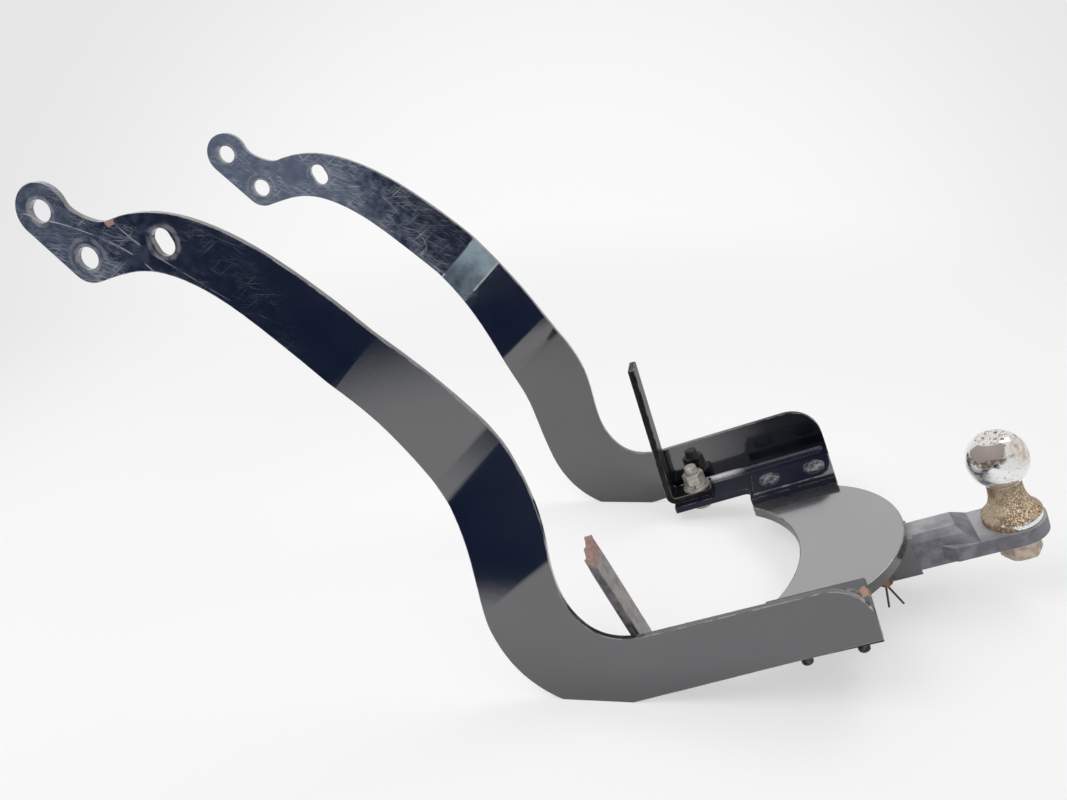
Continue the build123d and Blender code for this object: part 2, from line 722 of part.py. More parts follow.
with BuildPart() as hitch_pin:
    with BuildSketch(Plane(origin=(PIN_X, pin_end_y, receiver_z), z_dir=(0, 1, 0))):
        Circle(PIN_D / 2)
    extrude(amount=pin_head_y - pin_end_y)
    chamfer(hitch_pin.faces().sort_by(Axis.Y)[0].edges(), END_CHAMFER)
    with BuildSketch(Plane(origin=(PIN_X, pin_head_y, receiver_z), z_dir=(0, 1, 0))):
        Circle(PIN_HEAD_D / 2)
    extrude(amount=PIN_HEAD_H)
    chamfer(hitch_pin.faces().sort_by(Axis.Y)[-1].edges(), END_CHAMFER)
    with BuildSketch(Plane.XY.offset(receiver_z)):
        with Locations((PIN_X, cotter_y)):
            Circle(COTTER_HOLE_D / 2)
    extrude(amount=PIN_D, both=True, mode=Mode.SUBTRACT)
save(hitch_pin.part, "hitch_pin")

# Cotter pin: one wire with an eye above the pin and two splayed legs below it
pin_r = PIN_D / 2
leg_x = (COTTER_WIRE_D + COTTER_LEG_GAP) / 2
eye_low = pin_r + COTTER_WIRE_D
split_z = -pin_r - COTTER_SPLIT_DROP
leg_end_z = -pin_r - COTTER_LEG_L
cotter_points = [
    (-COTTER_FRONT_SPLAY, leg_end_z),
    (-leg_x, split_z),
    (-leg_x, eye_low),
    (-COTTER_EYE_W / 2, eye_low + COTTER_EYE_H / 2),
    (0, eye_low + COTTER_EYE_H),
    (COTTER_EYE_W / 2, eye_low + COTTER_EYE_H / 2),
    (leg_x, eye_low),
    (leg_x, split_z),
    (COTTER_REAR_SPLAY, leg_end_z),
]
cotter_plane = Plane(origin=(PIN_X, cotter_y, receiver_z), x_dir=(1, 0, 0), z_dir=(0, -1, 0))
with BuildPart() as cotter_pin:
    with BuildLine(cotter_plane) as wire:
        FilletPolyline(*cotter_points, radius=COTTER_BEND_R)
    with BuildSketch(Plane(origin=wire.line @ 0, z_dir=wire.line % 0)):
        Circle(COTTER_WIRE_D / 2)
    sweep()
save(cotter_pin.part, "cotter_pin")
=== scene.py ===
# %% [markdown]
# A motorcycle trailer hitch, dressed for its picture.
# The real part is a frame of black painted steel plate that bolts under a motorcycle and
# carries a rusty chromed tow ball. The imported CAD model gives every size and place. This
# lesson adds what CAD leaves out: rounded plate edges, rippled welds, threads, a torn strut
# and worn finishes. Units are metres, +X points to the rear, +Z is up, and the origin is the
# centre of the tow ball.

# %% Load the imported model
import json
from math import asin, cos, pi, radians, sin, tau

import bmesh
import bpy
from mathutils import Matrix, Vector, noise

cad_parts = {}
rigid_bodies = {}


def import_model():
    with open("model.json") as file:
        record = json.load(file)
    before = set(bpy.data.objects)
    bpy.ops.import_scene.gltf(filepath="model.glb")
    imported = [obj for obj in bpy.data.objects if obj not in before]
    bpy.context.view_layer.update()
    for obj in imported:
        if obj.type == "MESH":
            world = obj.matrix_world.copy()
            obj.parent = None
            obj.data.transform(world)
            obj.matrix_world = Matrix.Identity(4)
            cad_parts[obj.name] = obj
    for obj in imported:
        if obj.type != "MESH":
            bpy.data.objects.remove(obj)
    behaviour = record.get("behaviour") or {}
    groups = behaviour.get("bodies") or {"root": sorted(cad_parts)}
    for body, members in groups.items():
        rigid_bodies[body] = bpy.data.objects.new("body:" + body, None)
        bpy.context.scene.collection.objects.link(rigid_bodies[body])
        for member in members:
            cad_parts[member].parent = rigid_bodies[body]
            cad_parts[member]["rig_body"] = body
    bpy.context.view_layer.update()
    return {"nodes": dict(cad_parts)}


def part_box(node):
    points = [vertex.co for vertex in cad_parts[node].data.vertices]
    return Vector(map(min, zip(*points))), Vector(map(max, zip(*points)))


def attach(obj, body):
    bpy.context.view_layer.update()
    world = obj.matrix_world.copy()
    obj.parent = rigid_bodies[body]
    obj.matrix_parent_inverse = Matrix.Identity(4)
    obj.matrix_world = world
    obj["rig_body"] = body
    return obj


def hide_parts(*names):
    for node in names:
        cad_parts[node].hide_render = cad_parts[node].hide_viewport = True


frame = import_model()
MM = 0.001
print("packed nodes:", len(frame["nodes"]))

# %% [markdown]
# The camera stands where the photograph was taken: close, a little above the hitch and near
# its left rear, and tipped to the side. Its place and axes were found by matching the tow
# ball, the bolt holes and the plates' straight edges, so they are written down as they are.
# Three axes at right angles make a rotation matrix, which is simpler than three angles.

# %% Camera
CAMERA_PLACE = Vector((-0.1101, -0.7330, 0.4046))
CAMERA_RIGHT = Vector((0.9113, 0.1575, -0.3804))
CAMERA_UP = Vector((0.3012, 0.3746, 0.8769))
CAMERA_LENS = 32.05

camera = bpy.data.objects.new("camera", bpy.data.cameras.new("camera"))
camera.data.lens = CAMERA_LENS
camera.data.clip_start = 10 * MM
axes = Matrix((CAMERA_RIGHT, CAMERA_UP, CAMERA_RIGHT.cross(CAMERA_UP))).transposed()
camera.matrix_world = Matrix.Translation(CAMERA_PLACE) @ axes.to_4x4()
bpy.context.scene.collection.objects.link(camera)
bpy.context.scene.camera = camera
bpy.context.scene.view_settings.view_transform = "Standard"
print("camera looks along", tuple(round(-c, 3) for c in axes.col[2]))

# %% [markdown]
# Materials are built from nodes, and tiny helpers keep that readable. The first two add a
# node, link every value that another node puts out, and set every other value. The rest stand
# for the nodes that come back most often: sums, steps from one value to another, mixed
# colours and noises.


# %% Node helpers
def feed(tree, socket, value):
    """Links a value that another node puts out, and sets any other one."""
    if isinstance(value, bpy.types.NodeSocket):
        tree.links.new(value, socket)
    else:
        socket.default_value = value


def put(tree, kind, sockets=None, **settings):
    """Adds a node to a tree, with its settings and its inputs."""
    made = tree.nodes.new(kind)
    for key, value in settings.items():
        setattr(made, key, value)
    for key, value in (sockets or {}).items():
        feed(tree, made.inputs[key], value)
    return made


def calc(tree, operation, first, *others, clamp=False):
    """What a Math node makes of its values, or a row of Math nodes where there are more."""
    for other in others or (0.0,):
        sums = put(tree, "ShaderNodeMath", {0: first, 1: other}, operation=operation, use_clamp=clamp)
        first = sums.outputs[0]
    return first


def times(tree, *values):
    return calc(tree, "MULTIPLY", *values)


def plus(tree, *values):
    return calc(tree, "ADD", *values)


def most(tree, *values):
    return calc(tree, "MAXIMUM", *values)


def rest_of(tree, share):
    """What a share leaves of the whole."""
    return calc(tree, "SUBTRACT", 1.0, share)


def ramp(tree, value, start, end, low=0.0, high=1.0):
    """A value that goes smoothly from low at start to high at end."""
    sockets = {"Value": value, "From Min": start, "From Max": end, "To Min": low, "To Max": high}
    return put(tree, "ShaderNodeMapRange", sockets, interpolation_type="SMOOTHSTEP").outputs[0]


def slope(tree, value, start, width):
    """A value that goes evenly from 0 at start to 1 at width further on."""
    sockets = {"Value": value, "From Min": start, "From Max": plus(tree, start, width)}
    return put(tree, "ShaderNodeMapRange", sockets).outputs[0]


def mix(tree, share, first, second):
    """Two colours mixed by a share from 0 to 1."""
    mixed = put(tree, "ShaderNodeMix", {0: share}, data_type="RGBA")
    for place, colour in ((6, first), (7, second)):
        feed(tree, mixed.inputs[place], (*colour, 1.0) if isinstance(colour, tuple) else colour)
    return mixed.outputs[2]


def cloud(tree, place, scale, detail=3.0):
    """A noise from 0 to 1."""
    sockets = {"Vector": place, "Scale": scale, "Detail": detail}
    return put(tree, "ShaderNodeTexNoise", sockets).outputs["Fac"]


# %% [markdown]
# Places and directions are vectors, so three more helpers handle those. An empty material
# starts with no nodes at all, so that nothing is left in it that this lesson didn't put
# there, and an empty group has the sockets that it is given.


# %% Vectors, materials and groups
def vector_calc(tree, operation, first, second=(0, 0, 0)):
    """What a Vector Math node makes of two vectors: a number or a vector."""
    made = put(tree, "ShaderNodeVectorMath", {0: first, 1: second}, operation=operation)
    gives_number = operation in ("DOT_PRODUCT", "DISTANCE", "LENGTH")
    return made.outputs["Value" if gives_number else "Vector"]


def axis_of(tree, vector, axis):
    """A vector's part along X, Y or Z."""
    return put(tree, "ShaderNodeSeparateXYZ", {0: vector}).outputs[axis]


def facing(tree, axis):
    """How much a face looks along X, Y or Z, from -1 to 1."""
    return axis_of(tree, put(tree, "ShaderNodeNewGeometry").outputs["True Normal"], axis)


def new_material(name):
    """An empty material and its tree."""
    material = bpy.data.materials.new(name)
    material.use_nodes = True
    material.node_tree.nodes.clear()
    return material, material.node_tree


def new_group(name, inputs, outputs=("Mask",)):
    """An empty shader group, the coordinates that it is given, all its inputs and outputs.
    inputs are names with start values. An output is a number, or a colour if named Colour."""
    group = bpy.data.node_groups.new(name, "ShaderNodeTree")
    for label, start in {"Vector": (0, 0, 0), **inputs}.items():
        kind = "NodeSocketVector" if isinstance(start, tuple) else "NodeSocketFloat"
        group.interface.new_socket(label, in_out="INPUT", socket_type=kind).default_value = start
    for label in outputs:
        kind = "NodeSocketColor" if label == "Colour" else "NodeSocketFloat"
        group.interface.new_socket(label, in_out="OUTPUT", socket_type=kind)
    given = group.nodes.new("NodeGroupInput").outputs
    return group, given["Vector"], given, group.nodes.new("NodeGroupOutput").inputs


# %% [markdown]
# The studio. The photograph has a nearly white background and no hard shadow, so the world
# is a pale grey that camera and glossy rays see, and a plain soft light for the rest. Glossy
# black paint only looks black where it mirrors something dark: in the photograph the plates
# that tip upward mirror a dark side behind the camera, and those that tip down mirror the
# bright ground. The world has the same dark side, in the directions towards the hitch's front
# left, and only glossy rays see it. They don't see the far parts of the floor, so a plate
# mirrors the bright floor only where it faces the floor close by. The backdrop has a pool of
# brighter grey in the direction in which the photograph was taken.

# %% World
BACKDROP = 0.80
POOL = (0.955, 0.955, 0.955)
POOL_AIM = Vector((-0.24, 0.92, -0.31)).normalized()
POOL_FADE = (0.82, 0.985)
LIGHT_LEVEL = 0.62
FLOOR_NORMAL = Vector((0.318, 0.0, 0.948)).normalized()
DARK_SIDE = (0.018, 0.040, 0.115)
DARK_FROM_Y = (-0.05, -0.45)
DARK_FROM_X = (-0.08, -0.24)
DARK_TOP = (0.62, 0.40)
DARK_FOOT = (-0.66, -0.50)

world = bpy.data.worlds.new("studio")
bpy.context.scene.world = world
world.use_nodes = True
sky = world.node_tree
sky.nodes.clear()
direction = put(sky, "ShaderNodeTexCoord").outputs["Generated"]
above = vector_calc(sky, "DOT_PRODUCT", direction, FLOOR_NORMAL)
near_side = ramp(sky, axis_of(sky, direction, "Y"), *DARK_FROM_Y)
front_side = ramp(sky, axis_of(sky, direction, "X"), *DARK_FROM_X)
dark_band = times(sky, ramp(sky, above, *DARK_TOP), ramp(sky, above, *DARK_FOOT))
rays = put(sky, "ShaderNodeLightPath").outputs
dark_share = times(sky, near_side, front_side, dark_band, rays["Is Glossy Ray"])
pool_share = ramp(sky, vector_calc(sky, "DOT_PRODUCT", direction, POOL_AIM), *POOL_FADE)
pale = mix(sky, pool_share, (BACKDROP, BACKDROP, BACKDROP), POOL)
seen_colour = mix(sky, dark_share, pale, DARK_SIDE)
seen = put(sky, "ShaderNodeBackground", {"Color": seen_colour, "Strength": 1.0})
light = put(sky, "ShaderNodeBackground", {"Color": (1, 1, 1, 1), "Strength": LIGHT_LEVEL})
seen_rays = most(sky, rays["Is Camera Ray"], rays["Is Glossy Ray"], rays["Is Transmission Ray"])
both = put(sky, "ShaderNodeMixShader", {0: seen_rays, 1: light.outputs[0], 2: seen.outputs[0]})
put(sky, "ShaderNodeOutputWorld", {"Surface": both.outputs[0]})
print("world: backdrop", BACKDROP, "light", LIGHT_LEVEL)

# %% [markdown]
# The floor. The hitch lies tipped forward on its bars and the receiver's end, so the floor
# is a plane that slopes in the hitch's own axes. It is a disc with a painted pool of light:
# its colour falls off from the middle, and it fades out at its rim, so that no horizon line
# shows. Its back is clear, so that a view from low down isn't blocked.

# %% Floor
FLOOR_POINT = Vector((-0.320, 0.0, -0.025))
FLOOR_CENTRE = Vector((-0.33, 0.14, 0.0))
FLOOR_R = 2.6
FLOOR_BRIGHT = 0.1
FLOOR_FADE = 0.55
FLOOR_END = 0.6 * FLOOR_R
FLOOR_MIDDLE = (0.97, 0.97, 0.97)
FLOOR_RIM = (0.92, 0.92, 0.92)
FLOOR_GLOW = 0.55
MIRRORED_FADE = (0.62, 0.82)


def mesh_from(shape, name):
    """Turns a bmesh into a mesh and frees it."""
    mesh = bpy.data.meshes.new(name)
    shape.to_mesh(mesh)
    shape.free()
    return mesh


def make_floor(paint):
    """A disc on the sloping floor plane."""
    drop = FLOOR_NORMAL.dot(FLOOR_POINT - FLOOR_CENTRE) / FLOOR_NORMAL.z
    centre = FLOOR_CENTRE + Vector((0, 0, drop))
    turn = FLOOR_NORMAL.to_track_quat("Z", "Y").to_matrix().to_4x4()
    disc = bmesh.new()
    bmesh.ops.create_circle(disc, cap_ends=True, segments=96, radius=FLOOR_R)
    floor = bpy.data.objects.new("floor", mesh_from(disc, "floor"))
    floor.matrix_world = Matrix.Translation(centre) @ turn
    floor.data.materials.append(paint)
    bpy.context.scene.collection.objects.link(floor)


def make_floor_paint():
    """Pale and partly glowing for the camera, and clear past the rim and from below."""
    paint, tree = new_material("pale_floor")
    reach = vector_calc(tree, "LENGTH", put(tree, "ShaderNodeTexCoord").outputs["Object"])
    # A painted pool of light: the floor is paler in the middle and greyer towards the rim.
    tone = mix(tree, ramp(tree, reach, FLOOR_BRIGHT, FLOOR_FADE), FLOOR_MIDDLE, FLOOR_RIM)
    lit = put(tree, "ShaderNodeBsdfDiffuse", {"Color": tone})
    glow = put(tree, "ShaderNodeEmission", {"Color": tone, "Strength": 1.0})
    floor_rays = put(tree, "ShaderNodeLightPath").outputs
    glow_share = times(tree, floor_rays["Is Camera Ray"], FLOOR_GLOW)
    surface = put(tree, "ShaderNodeMixShader", {0: glow_share, 1: lit.outputs[0], 2: glow.outputs[0]})
    clear = put(tree, "ShaderNodeBsdfTransparent")
    back = put(tree, "ShaderNodeNewGeometry").outputs["Backfacing"]
    unmirrored = times(tree, floor_rays["Is Glossy Ray"], ramp(tree, reach, *MIRRORED_FADE))
    gone = most(tree, back, ramp(tree, reach, FLOOR_FADE, FLOOR_END), unmirrored)
    shown = put(tree, "ShaderNodeMixShader", {0: gone, 1: surface.outputs[0], 2: clear.outputs[0]})
    put(tree, "ShaderNodeOutputMaterial", {"Surface": shown.outputs[0]})
    return paint


make_floor(make_floor_paint())
print("floor slopes", round(asin(FLOOR_NORMAL.x), 3), "rad")

# %% [markdown]
# Two large soft lamps give the shapes some direction. They are high up, where the upright
# plates don't mirror them, and weak beside the world's light, so colours stay as written.

# %% Lamps
LAMP_AIM = Vector((-0.28, 0.0, 0.1))


def soft_lamp(name, place, size, watts):
    """A square area lamp that looks at the hitch."""
    lamp = bpy.data.objects.new(name, bpy.data.lights.new(name, "AREA"))
    lamp.data.size = size
    lamp.data.energy = watts
    lamp.location = place
    lamp.rotation_euler = (LAMP_AIM - Vector(place)).to_track_quat("-Z", "Y").to_euler()
    bpy.context.scene.collection.objects.link(lamp)


soft_lamp("key_lamp", (-0.9, -0.9, 2.2), 1.4, 22.0)
soft_lamp("rear_lamp", (1.3, 0.9, 1.9), 1.2, 12.0)
print("lamps:", len(bpy.data.lights))

# %% [markdown]
# Effects that several finishes share are groups. A scratch is a noise that is stretched a
# long way in one direction: only its highest peaks are kept, and they come out as straight
# thin strokes. Five directions are laid over each other, most of them along the arm's head.
# Each has a turn and a sideways shift, which keeps the strokes of two directions from being
# the same ones, and a broad noise makes some places busier than others.

# %% Scratches group
STROKE_TURNS = ((0.62, 0.0), (0.80, 0.31), (1.02, 0.67), (-0.30, 0.93), (0.35, 1.21))


def stretched(group, vector, scale, turn, shift=0.0):
    """Coordinates that stretch a noise, turned about Y and moved sideways."""
    sockets = {"Vector": vector, "Location": (shift, 0, shift), "Rotation": (0, turn, 0), "Scale": scale}
    return put(group, "ShaderNodeMapping", sockets, vector_type="TEXTURE").outputs[0]


def make_scratches():
    inputs = {"Length": 0.030, "Width": 0.0006, "Busy": 0.5}
    group, place, given, out = new_group("Scratches", inputs)
    sockets = {0: given["Length"], 1: given["Length"], 2: given["Width"]}
    scale = put(group, "ShaderNodeCombineXYZ", sockets).outputs[0]
    strokes = []
    for turn, shift in STROKE_TURNS:
        peaks = cloud(group, stretched(group, place, scale, turn, shift), 1.0, 0.0)
        strokes.append(ramp(group, peaks, 0.71, 0.80))
    busy = slope(group, cloud(group, place, 45.0), rest_of(group, given["Busy"]), 0.15)
    feed(group, out["Mask"], times(group, most(group, *strokes), busy))
    return group


SCRATCHES = make_scratches()
print(SCRATCHES.name, len(SCRATCHES.nodes), "nodes")

# %% [markdown]
# A few scratches are long and curved. They are contour lines: where a broad noise is close to
# its middle value there is one thin line, and stretching the noise keeps it from curling.


# %% Long scratches group
def make_long_scratches():
    group, place, given, out = new_group("Long scratches", {"Scale": 9.0, "Width": 0.004})
    waves = cloud(group, stretched(group, place, (5.0, 1.0, 1.0), 1.0), given["Scale"], 0.0)
    off_middle = calc(group, "ABSOLUTE", calc(group, "SUBTRACT", waves, 0.5))
    past_line = calc(group, "DIVIDE", off_middle, given["Width"])
    line = calc(group, "SUBTRACT", 1.0, past_line, clamp=True)
    unbroken = ramp(group, cloud(group, place, 60.0, 2.0), 0.42, 0.60)
    feed(group, out["Mask"], times(group, line, unbroken))
    return group


LONG_SCRATCHES = make_long_scratches()
print(LONG_SCRATCHES.name, len(LONG_SCRATCHES.nodes), "nodes")

# %% [markdown]
# Rust comes in blooms with a speckled rim. Two noises of different size give where it is and
# how it breaks up, and a third one varies its colour from orange to near black.

# %% Rust group
DARK_RUST = (0.075, 0.035, 0.018)
ORANGE_RUST = (0.36, 0.17, 0.07)


def make_rust():
    outputs = ("Mask", "Colour", "Height")
    group, place, given, out = new_group("Rust", {"Amount": 0.5, "Scale": 60.0}, outputs)
    fine_scale = times(group, given["Scale"], 9.0)
    blooms = cloud(group, place, given["Scale"], 6.0)
    grains = cloud(group, place, fine_scale)
    speckled = plus(group, times(group, blooms, 0.7), times(group, grains, 0.3))
    rim = calc(group, "SUBTRACT", 0.74, times(group, given["Amount"], 0.48))
    mask = slope(group, speckled, rim, 0.05)
    hue = ramp(group, cloud(group, place, fine_scale, 2.0), 0.35, 0.65)
    feed(group, out["Mask"], mask)
    feed(group, out["Colour"], mix(group, hue, DARK_RUST, ORANGE_RUST))
    feed(group, out["Height"], times(group, mask, grains))
    return group


RUST = make_rust()
print(RUST.name, len(RUST.nodes), "nodes")

# %% [markdown]
# Edges lose their paint first. The Bevel node gives the normal that a rounded edge would
# have. Where that differs from the true normal there is an edge, and a noise makes the wear
# uneven.


# %% Edge wear group
def make_edge_wear():
    inputs = {"Radius": 0.0012, "Patchiness": 0.5}
    group, place, given, out = new_group("Edge wear", inputs)
    rounded = put(group, "ShaderNodeBevel", {"Radius": given["Radius"]}, samples=6).outputs[0]
    true = put(group, "ShaderNodeNewGeometry").outputs["True Normal"]
    edge = ramp(group, vector_calc(group, "DOT_PRODUCT", rounded, true), 0.995, 0.90)
    worn = slope(group, cloud(group, place, 90.0, 4.0), given["Patchiness"], 0.12)
    feed(group, out["Mask"], times(group, edge, worn))
    return group


EDGE_WEAR = make_edge_wear()
print(EDGE_WEAR.name, len(EDGE_WEAR.nodes), "nodes")

# %% [markdown]
# A washer that was done up against the paint leaves a pale ring. The ring is a range of
# distances from the hole's centre, seen from the side, so one group serves every hole.

# %% Washer ring group
RING_FADE = 1.2 * MM
RING_WOBBLE = 3.0 * MM


def make_washer_ring():
    inputs = {"Centre": (0, 0, 0), "Inner": 0.007, "Outer": 0.011}
    group, place, given, out = new_group("Washer ring", inputs)
    apart = vector_calc(group, "SUBTRACT", place, given["Centre"])
    from_side = vector_calc(group, "MULTIPLY", apart, (1, 0, 1))
    wobble = calc(group, "SUBTRACT", cloud(group, place, 220.0), 0.5)
    reach = plus(group, vector_calc(group, "LENGTH", from_side), times(group, wobble, RING_WOBBLE))
    outside = slope(group, reach, given["Outer"], RING_FADE)
    inside = slope(group, reach, calc(group, "SUBTRACT", given["Inner"], RING_FADE), RING_FADE)
    unbroken = ramp(group, cloud(group, place, 130.0, 5.0), 0.32, 0.58)
    feed(group, out["Mask"], times(group, inside, rest_of(group, outside), unbroken))
    return group


WASHER_RING = make_washer_ring()
print("groups:", ", ".join(g.name for g in bpy.data.node_groups))

# %% [markdown]
# Every finish starts the same way: a Principled BSDF, and the object's own coordinates. The
# packed objects sit at the origin, so these coordinates are metres from the tow ball's
# centre, and a mark can be placed on a part by its real position. Numbers that are the same
# all over a surface are set on the shader itself.


# %% A new finish
def new_finish(name, **constants):
    """A material with its tree, shader and object coordinates."""
    material, tree = new_material(name)
    shader = put(tree, "ShaderNodeBsdfPrincipled", constants)
    put(tree, "ShaderNodeOutputMaterial", {"Surface": shader.outputs[0]})
    return material, tree, shader.inputs, put(tree, "ShaderNodeTexCoord").outputs["Object"]


def group_node(tree, group, **sockets):
    """The outputs of a shader group placed in a material."""
    return put(tree, "ShaderNodeGroup", sockets, node_tree=group).outputs


def bump(tree, height, strength, depth):
    """A normal from a height. depth is how far a full height stands up, in metres."""
    sockets = {"Height": height, "Strength": strength, "Distance": depth}
    return put(tree, "ShaderNodeBump", sockets).outputs[0]


# %% [markdown]
# The arms were handled most, so they have marks that the other plates don't. Strokes and a
# pale haze grow towards the heads, washers left rings round the holes, and the far arm has a
# painted reflection of its bend: a pale band and two faint highlight lines. All of them are
# masks placed by real distances, which is surer than painting them by hand on a bent plate.
# The list of holes gives each ring's centre, its inner and outer radius, and its strength.

# %% Marks on the arms
SCUFFED = (0.13, 0.155, 0.215)
SCRATCHED = (0.42, 0.45, 0.50)
BEND_SHEEN = (0.29, 0.37, 0.41)
DOWN_ARM = (0.454, 0, -0.891)
ACROSS_ARM = (0.891, 0, 0.454)
SCUFFS_END = (-0.385, -0.400)
BAND_TOP = (-0.4315, -0.4295)
BAND_FOOT = (-0.3965, -0.4000)
BAND_LINES = (0.3985, 0.4305)
BAND_ACROSS = (-0.245, -0.205)
LINE_EDGE = (1.3 * MM, 0.6 * MM)
HOLES = (
    ((-0.5620, 0, 0.4552), 0.0085, 0.0102, 0.50),
    ((-0.5454, 0, 0.4144), 0.0085, 0.0098, 0.55),
    ((-0.5454, 0, 0.4144), 0.0128, 0.0146, 0.35),
    ((-0.4855, 0, 0.4045), 0.0100, 0.0120, 0.38),
)


def strokes_on(tree, place):
    """Fine, broad and long scratches together."""
    fine = group_node(tree, SCRATCHES, Vector=place, Length=0.022, Width=0.00030, Busy=0.60)["Mask"]
    broad = group_node(tree, SCRATCHES, Vector=place, Length=0.045, Width=0.00055, Busy=0.46)["Mask"]
    long = group_node(tree, LONG_SCRATCHES, Vector=place, Scale=26.0, Width=0.0060)["Mask"]
    return most(tree, times(tree, fine, 0.7), broad, long)


def painted_bend_sheen(tree, place, down):
    """Painted reflection of the bend: a pale band and two highlight lines, on the arm's inner side only."""
    inner_side = ramp(tree, facing(tree, "Y"), -0.2, -0.5)
    width = vector_calc(tree, "DOT_PRODUCT", place, ACROSS_ARM)
    across = ramp(tree, width, *BAND_ACROSS, 0.35, 1.0)
    patchy = ramp(tree, cloud(tree, place, 45.0, 6.0), 0.36, 0.62, 0.50, 1.0)
    between = times(tree, ramp(tree, down, *BAND_TOP), ramp(tree, down, *BAND_FOOT))
    low, high = (calc(tree, "ABSOLUTE", plus(tree, down, line)) for line in BAND_LINES)
    glint_lines = ramp(tree, calc(tree, "MINIMUM", low, high), *LINE_EDGE)
    unbroken = ramp(tree, cloud(tree, place, 48.0), 0.44, 0.52)
    return times(tree, between, patchy, across, inner_side), times(tree, glint_lines, unbroken, inner_side)


def arm_marks(tree, place, base, scuffs_x, haze_share, veil, sheen_at_bend):
    """The marked colour, the masks of bare steel and painted highlight, and the masks of scuffs.
    Scuffs grow along X from none at scuffs_x[0] to all at scuffs_x[1]. veil is the same for an
    even pale film, with its share. The last flag adds a painted reflection of the arm's bend,
    and no scuffs below it."""
    along = axis_of(tree, place, "X")
    down = vector_calc(tree, "DOT_PRODUCT", place, DOWN_ARM)
    share = ramp(tree, along, *scuffs_x)
    if sheen_at_bend:
        share = times(tree, share, ramp(tree, down, *SCUFFS_END))
    strokes = times(tree, strokes_on(tree, place), share)
    haze = times(tree, ramp(tree, cloud(tree, place, 160.0, 8.0), 0.36, 0.70), share, share)
    base = mix(tree, ramp(tree, along, veil[0], veil[1], 0.0, veil[2]), base, SCUFFED)
    base = mix(tree, times(tree, haze, haze_share), base, SCUFFED)
    base = mix(tree, strokes, base, SCRATCHED)
    bare = []
    for centre, inner, outer, strength in HOLES:
        ring = group_node(tree, WASHER_RING, Vector=place, Centre=centre, Inner=inner, Outer=outer)
        bare.append(times(tree, ring["Mask"], strength))
    if sheen_at_bend:
        sheen_band, glint_lines = painted_bend_sheen(tree, place, down)
        # Painted reflection of the bend: a pale bluish band, and highlight lines that join the bare steel
        # masks.
        base = mix(tree, sheen_band, base, BEND_SHEEN)
        bare.append(glint_lines)
    return base, bare, [strokes, times(tree, haze, 0.3)]


print("washer rings:", len(HOLES))

# %% [markdown]
# Black paint on the arms and plates. Its gloss comes from a clear coat over a base that mostly
# has a high index of refraction, because the real paint mirrors the bright ground strongly.
# Worn places lose the coat and turn pale or rusty, most of all along the edges. Faces that
# look up are shinier on some plates, and the far arm is duller towards its rear end, as in
# the photograph, so the index and the coat vary over those plates.

# %% Black paint
BARE_STEEL = (0.36, 0.355, 0.36)
PINK_RUST = (0.36, 0.19, 0.15)
DUST = (0.15, 0.155, 0.17)
LOOKS_UP = (0.75, 0.95)


def black_paint(
    name, colour, ior, film, chipped, rusted, dull=0.07, arm=None, spots=(), top_ior=None, dim_x=None
):
    """Glossy black paint. film is how dusty it is, chipped and rusted are how worn the edges
    are, and dull is the least roughness. arm holds the values for arm_marks, and spots are
    (place, radius) of pinkish chips. top_ior makes faces that look up shinier, and dim_x is
    where the shine fades, along X."""
    material, tree, skin, place = new_finish(name, IOR=ior, **{"Coat Roughness": 0.04})
    blotch = cloud(tree, place, 14.0, 5.0)
    dusty = times(tree, ramp(tree, blotch, 0.35, 0.70), film)
    base = mix(tree, dusty, colour, DUST)
    edge = group_node(tree, EDGE_WEAR, Vector=place, Radius=0.0010, Patchiness=0.44)["Mask"]
    bare = [times(tree, edge, chipped)]
    scuffs = []
    if arm:
        base, arm_bare_and_glints, scuffs = arm_marks(tree, place, base, **arm)
        bare += arm_bare_and_glints
    worn = most(tree, *bare)
    rust = group_node(tree, RUST, Vector=place, Amount=0.5, Scale=55.0)["Mask"]
    rusty = times(tree, rust, edge, rusted)
    for centre, radius in spots:
        apart = vector_calc(tree, "DISTANCE", place, centre)
        ragged = plus(tree, apart, times(tree, cloud(tree, place, 260.0), radius * 0.9))
        rusty = most(tree, rusty, ramp(tree, ragged, radius * 1.25, radius * 1.05))
    shade = mix(tree, worn, base, BARE_STEEL)
    feed(tree, skin["Base Color"], mix(tree, rusty, shade, PINK_RUST))
    off = calc(tree, "MAXIMUM", *scuffs, worn, rusty, clamp=True)
    coat = rest_of(tree, most(tree, off, times(tree, dusty, 0.8)))
    if top_ior:
        up = facing(tree, "Z")
        feed(tree, skin["IOR"], ramp(tree, up, *LOOKS_UP, ior, top_ior))
        coat = times(tree, coat, ramp(tree, up, *LOOKS_UP, 0.25, 1.0))
    if dim_x:
        along = axis_of(tree, place, "X")
        feed(tree, skin["IOR"], ramp(tree, along, *dim_x, ior, 1.25))
        coat = times(tree, coat, ramp(tree, along, *dim_x, 1.0, 0.2))
    feed(tree, skin["Coat Weight"], coat)
    feed(tree, skin["Roughness"], plus(tree, dull, times(tree, blotch, 0.08), times(tree, off, 0.35)))
    peel = calc(tree, "SUBTRACT", cloud(tree, place, 220.0, 2.0), times(tree, off, 2.0))
    feed(tree, skin["Normal"], bump(tree, peel, 0.20, 0.1 * MM))
    print(name, len(tree.nodes), "nodes")
    return material


# %% [markdown]
# One recipe makes all five black paints. The two arms have the same rings round their holes,
# but the far one is hazier and has a painted reflection of its bend. A chip is a small ragged
# disc of pinkish rust, placed where the photograph shows one.

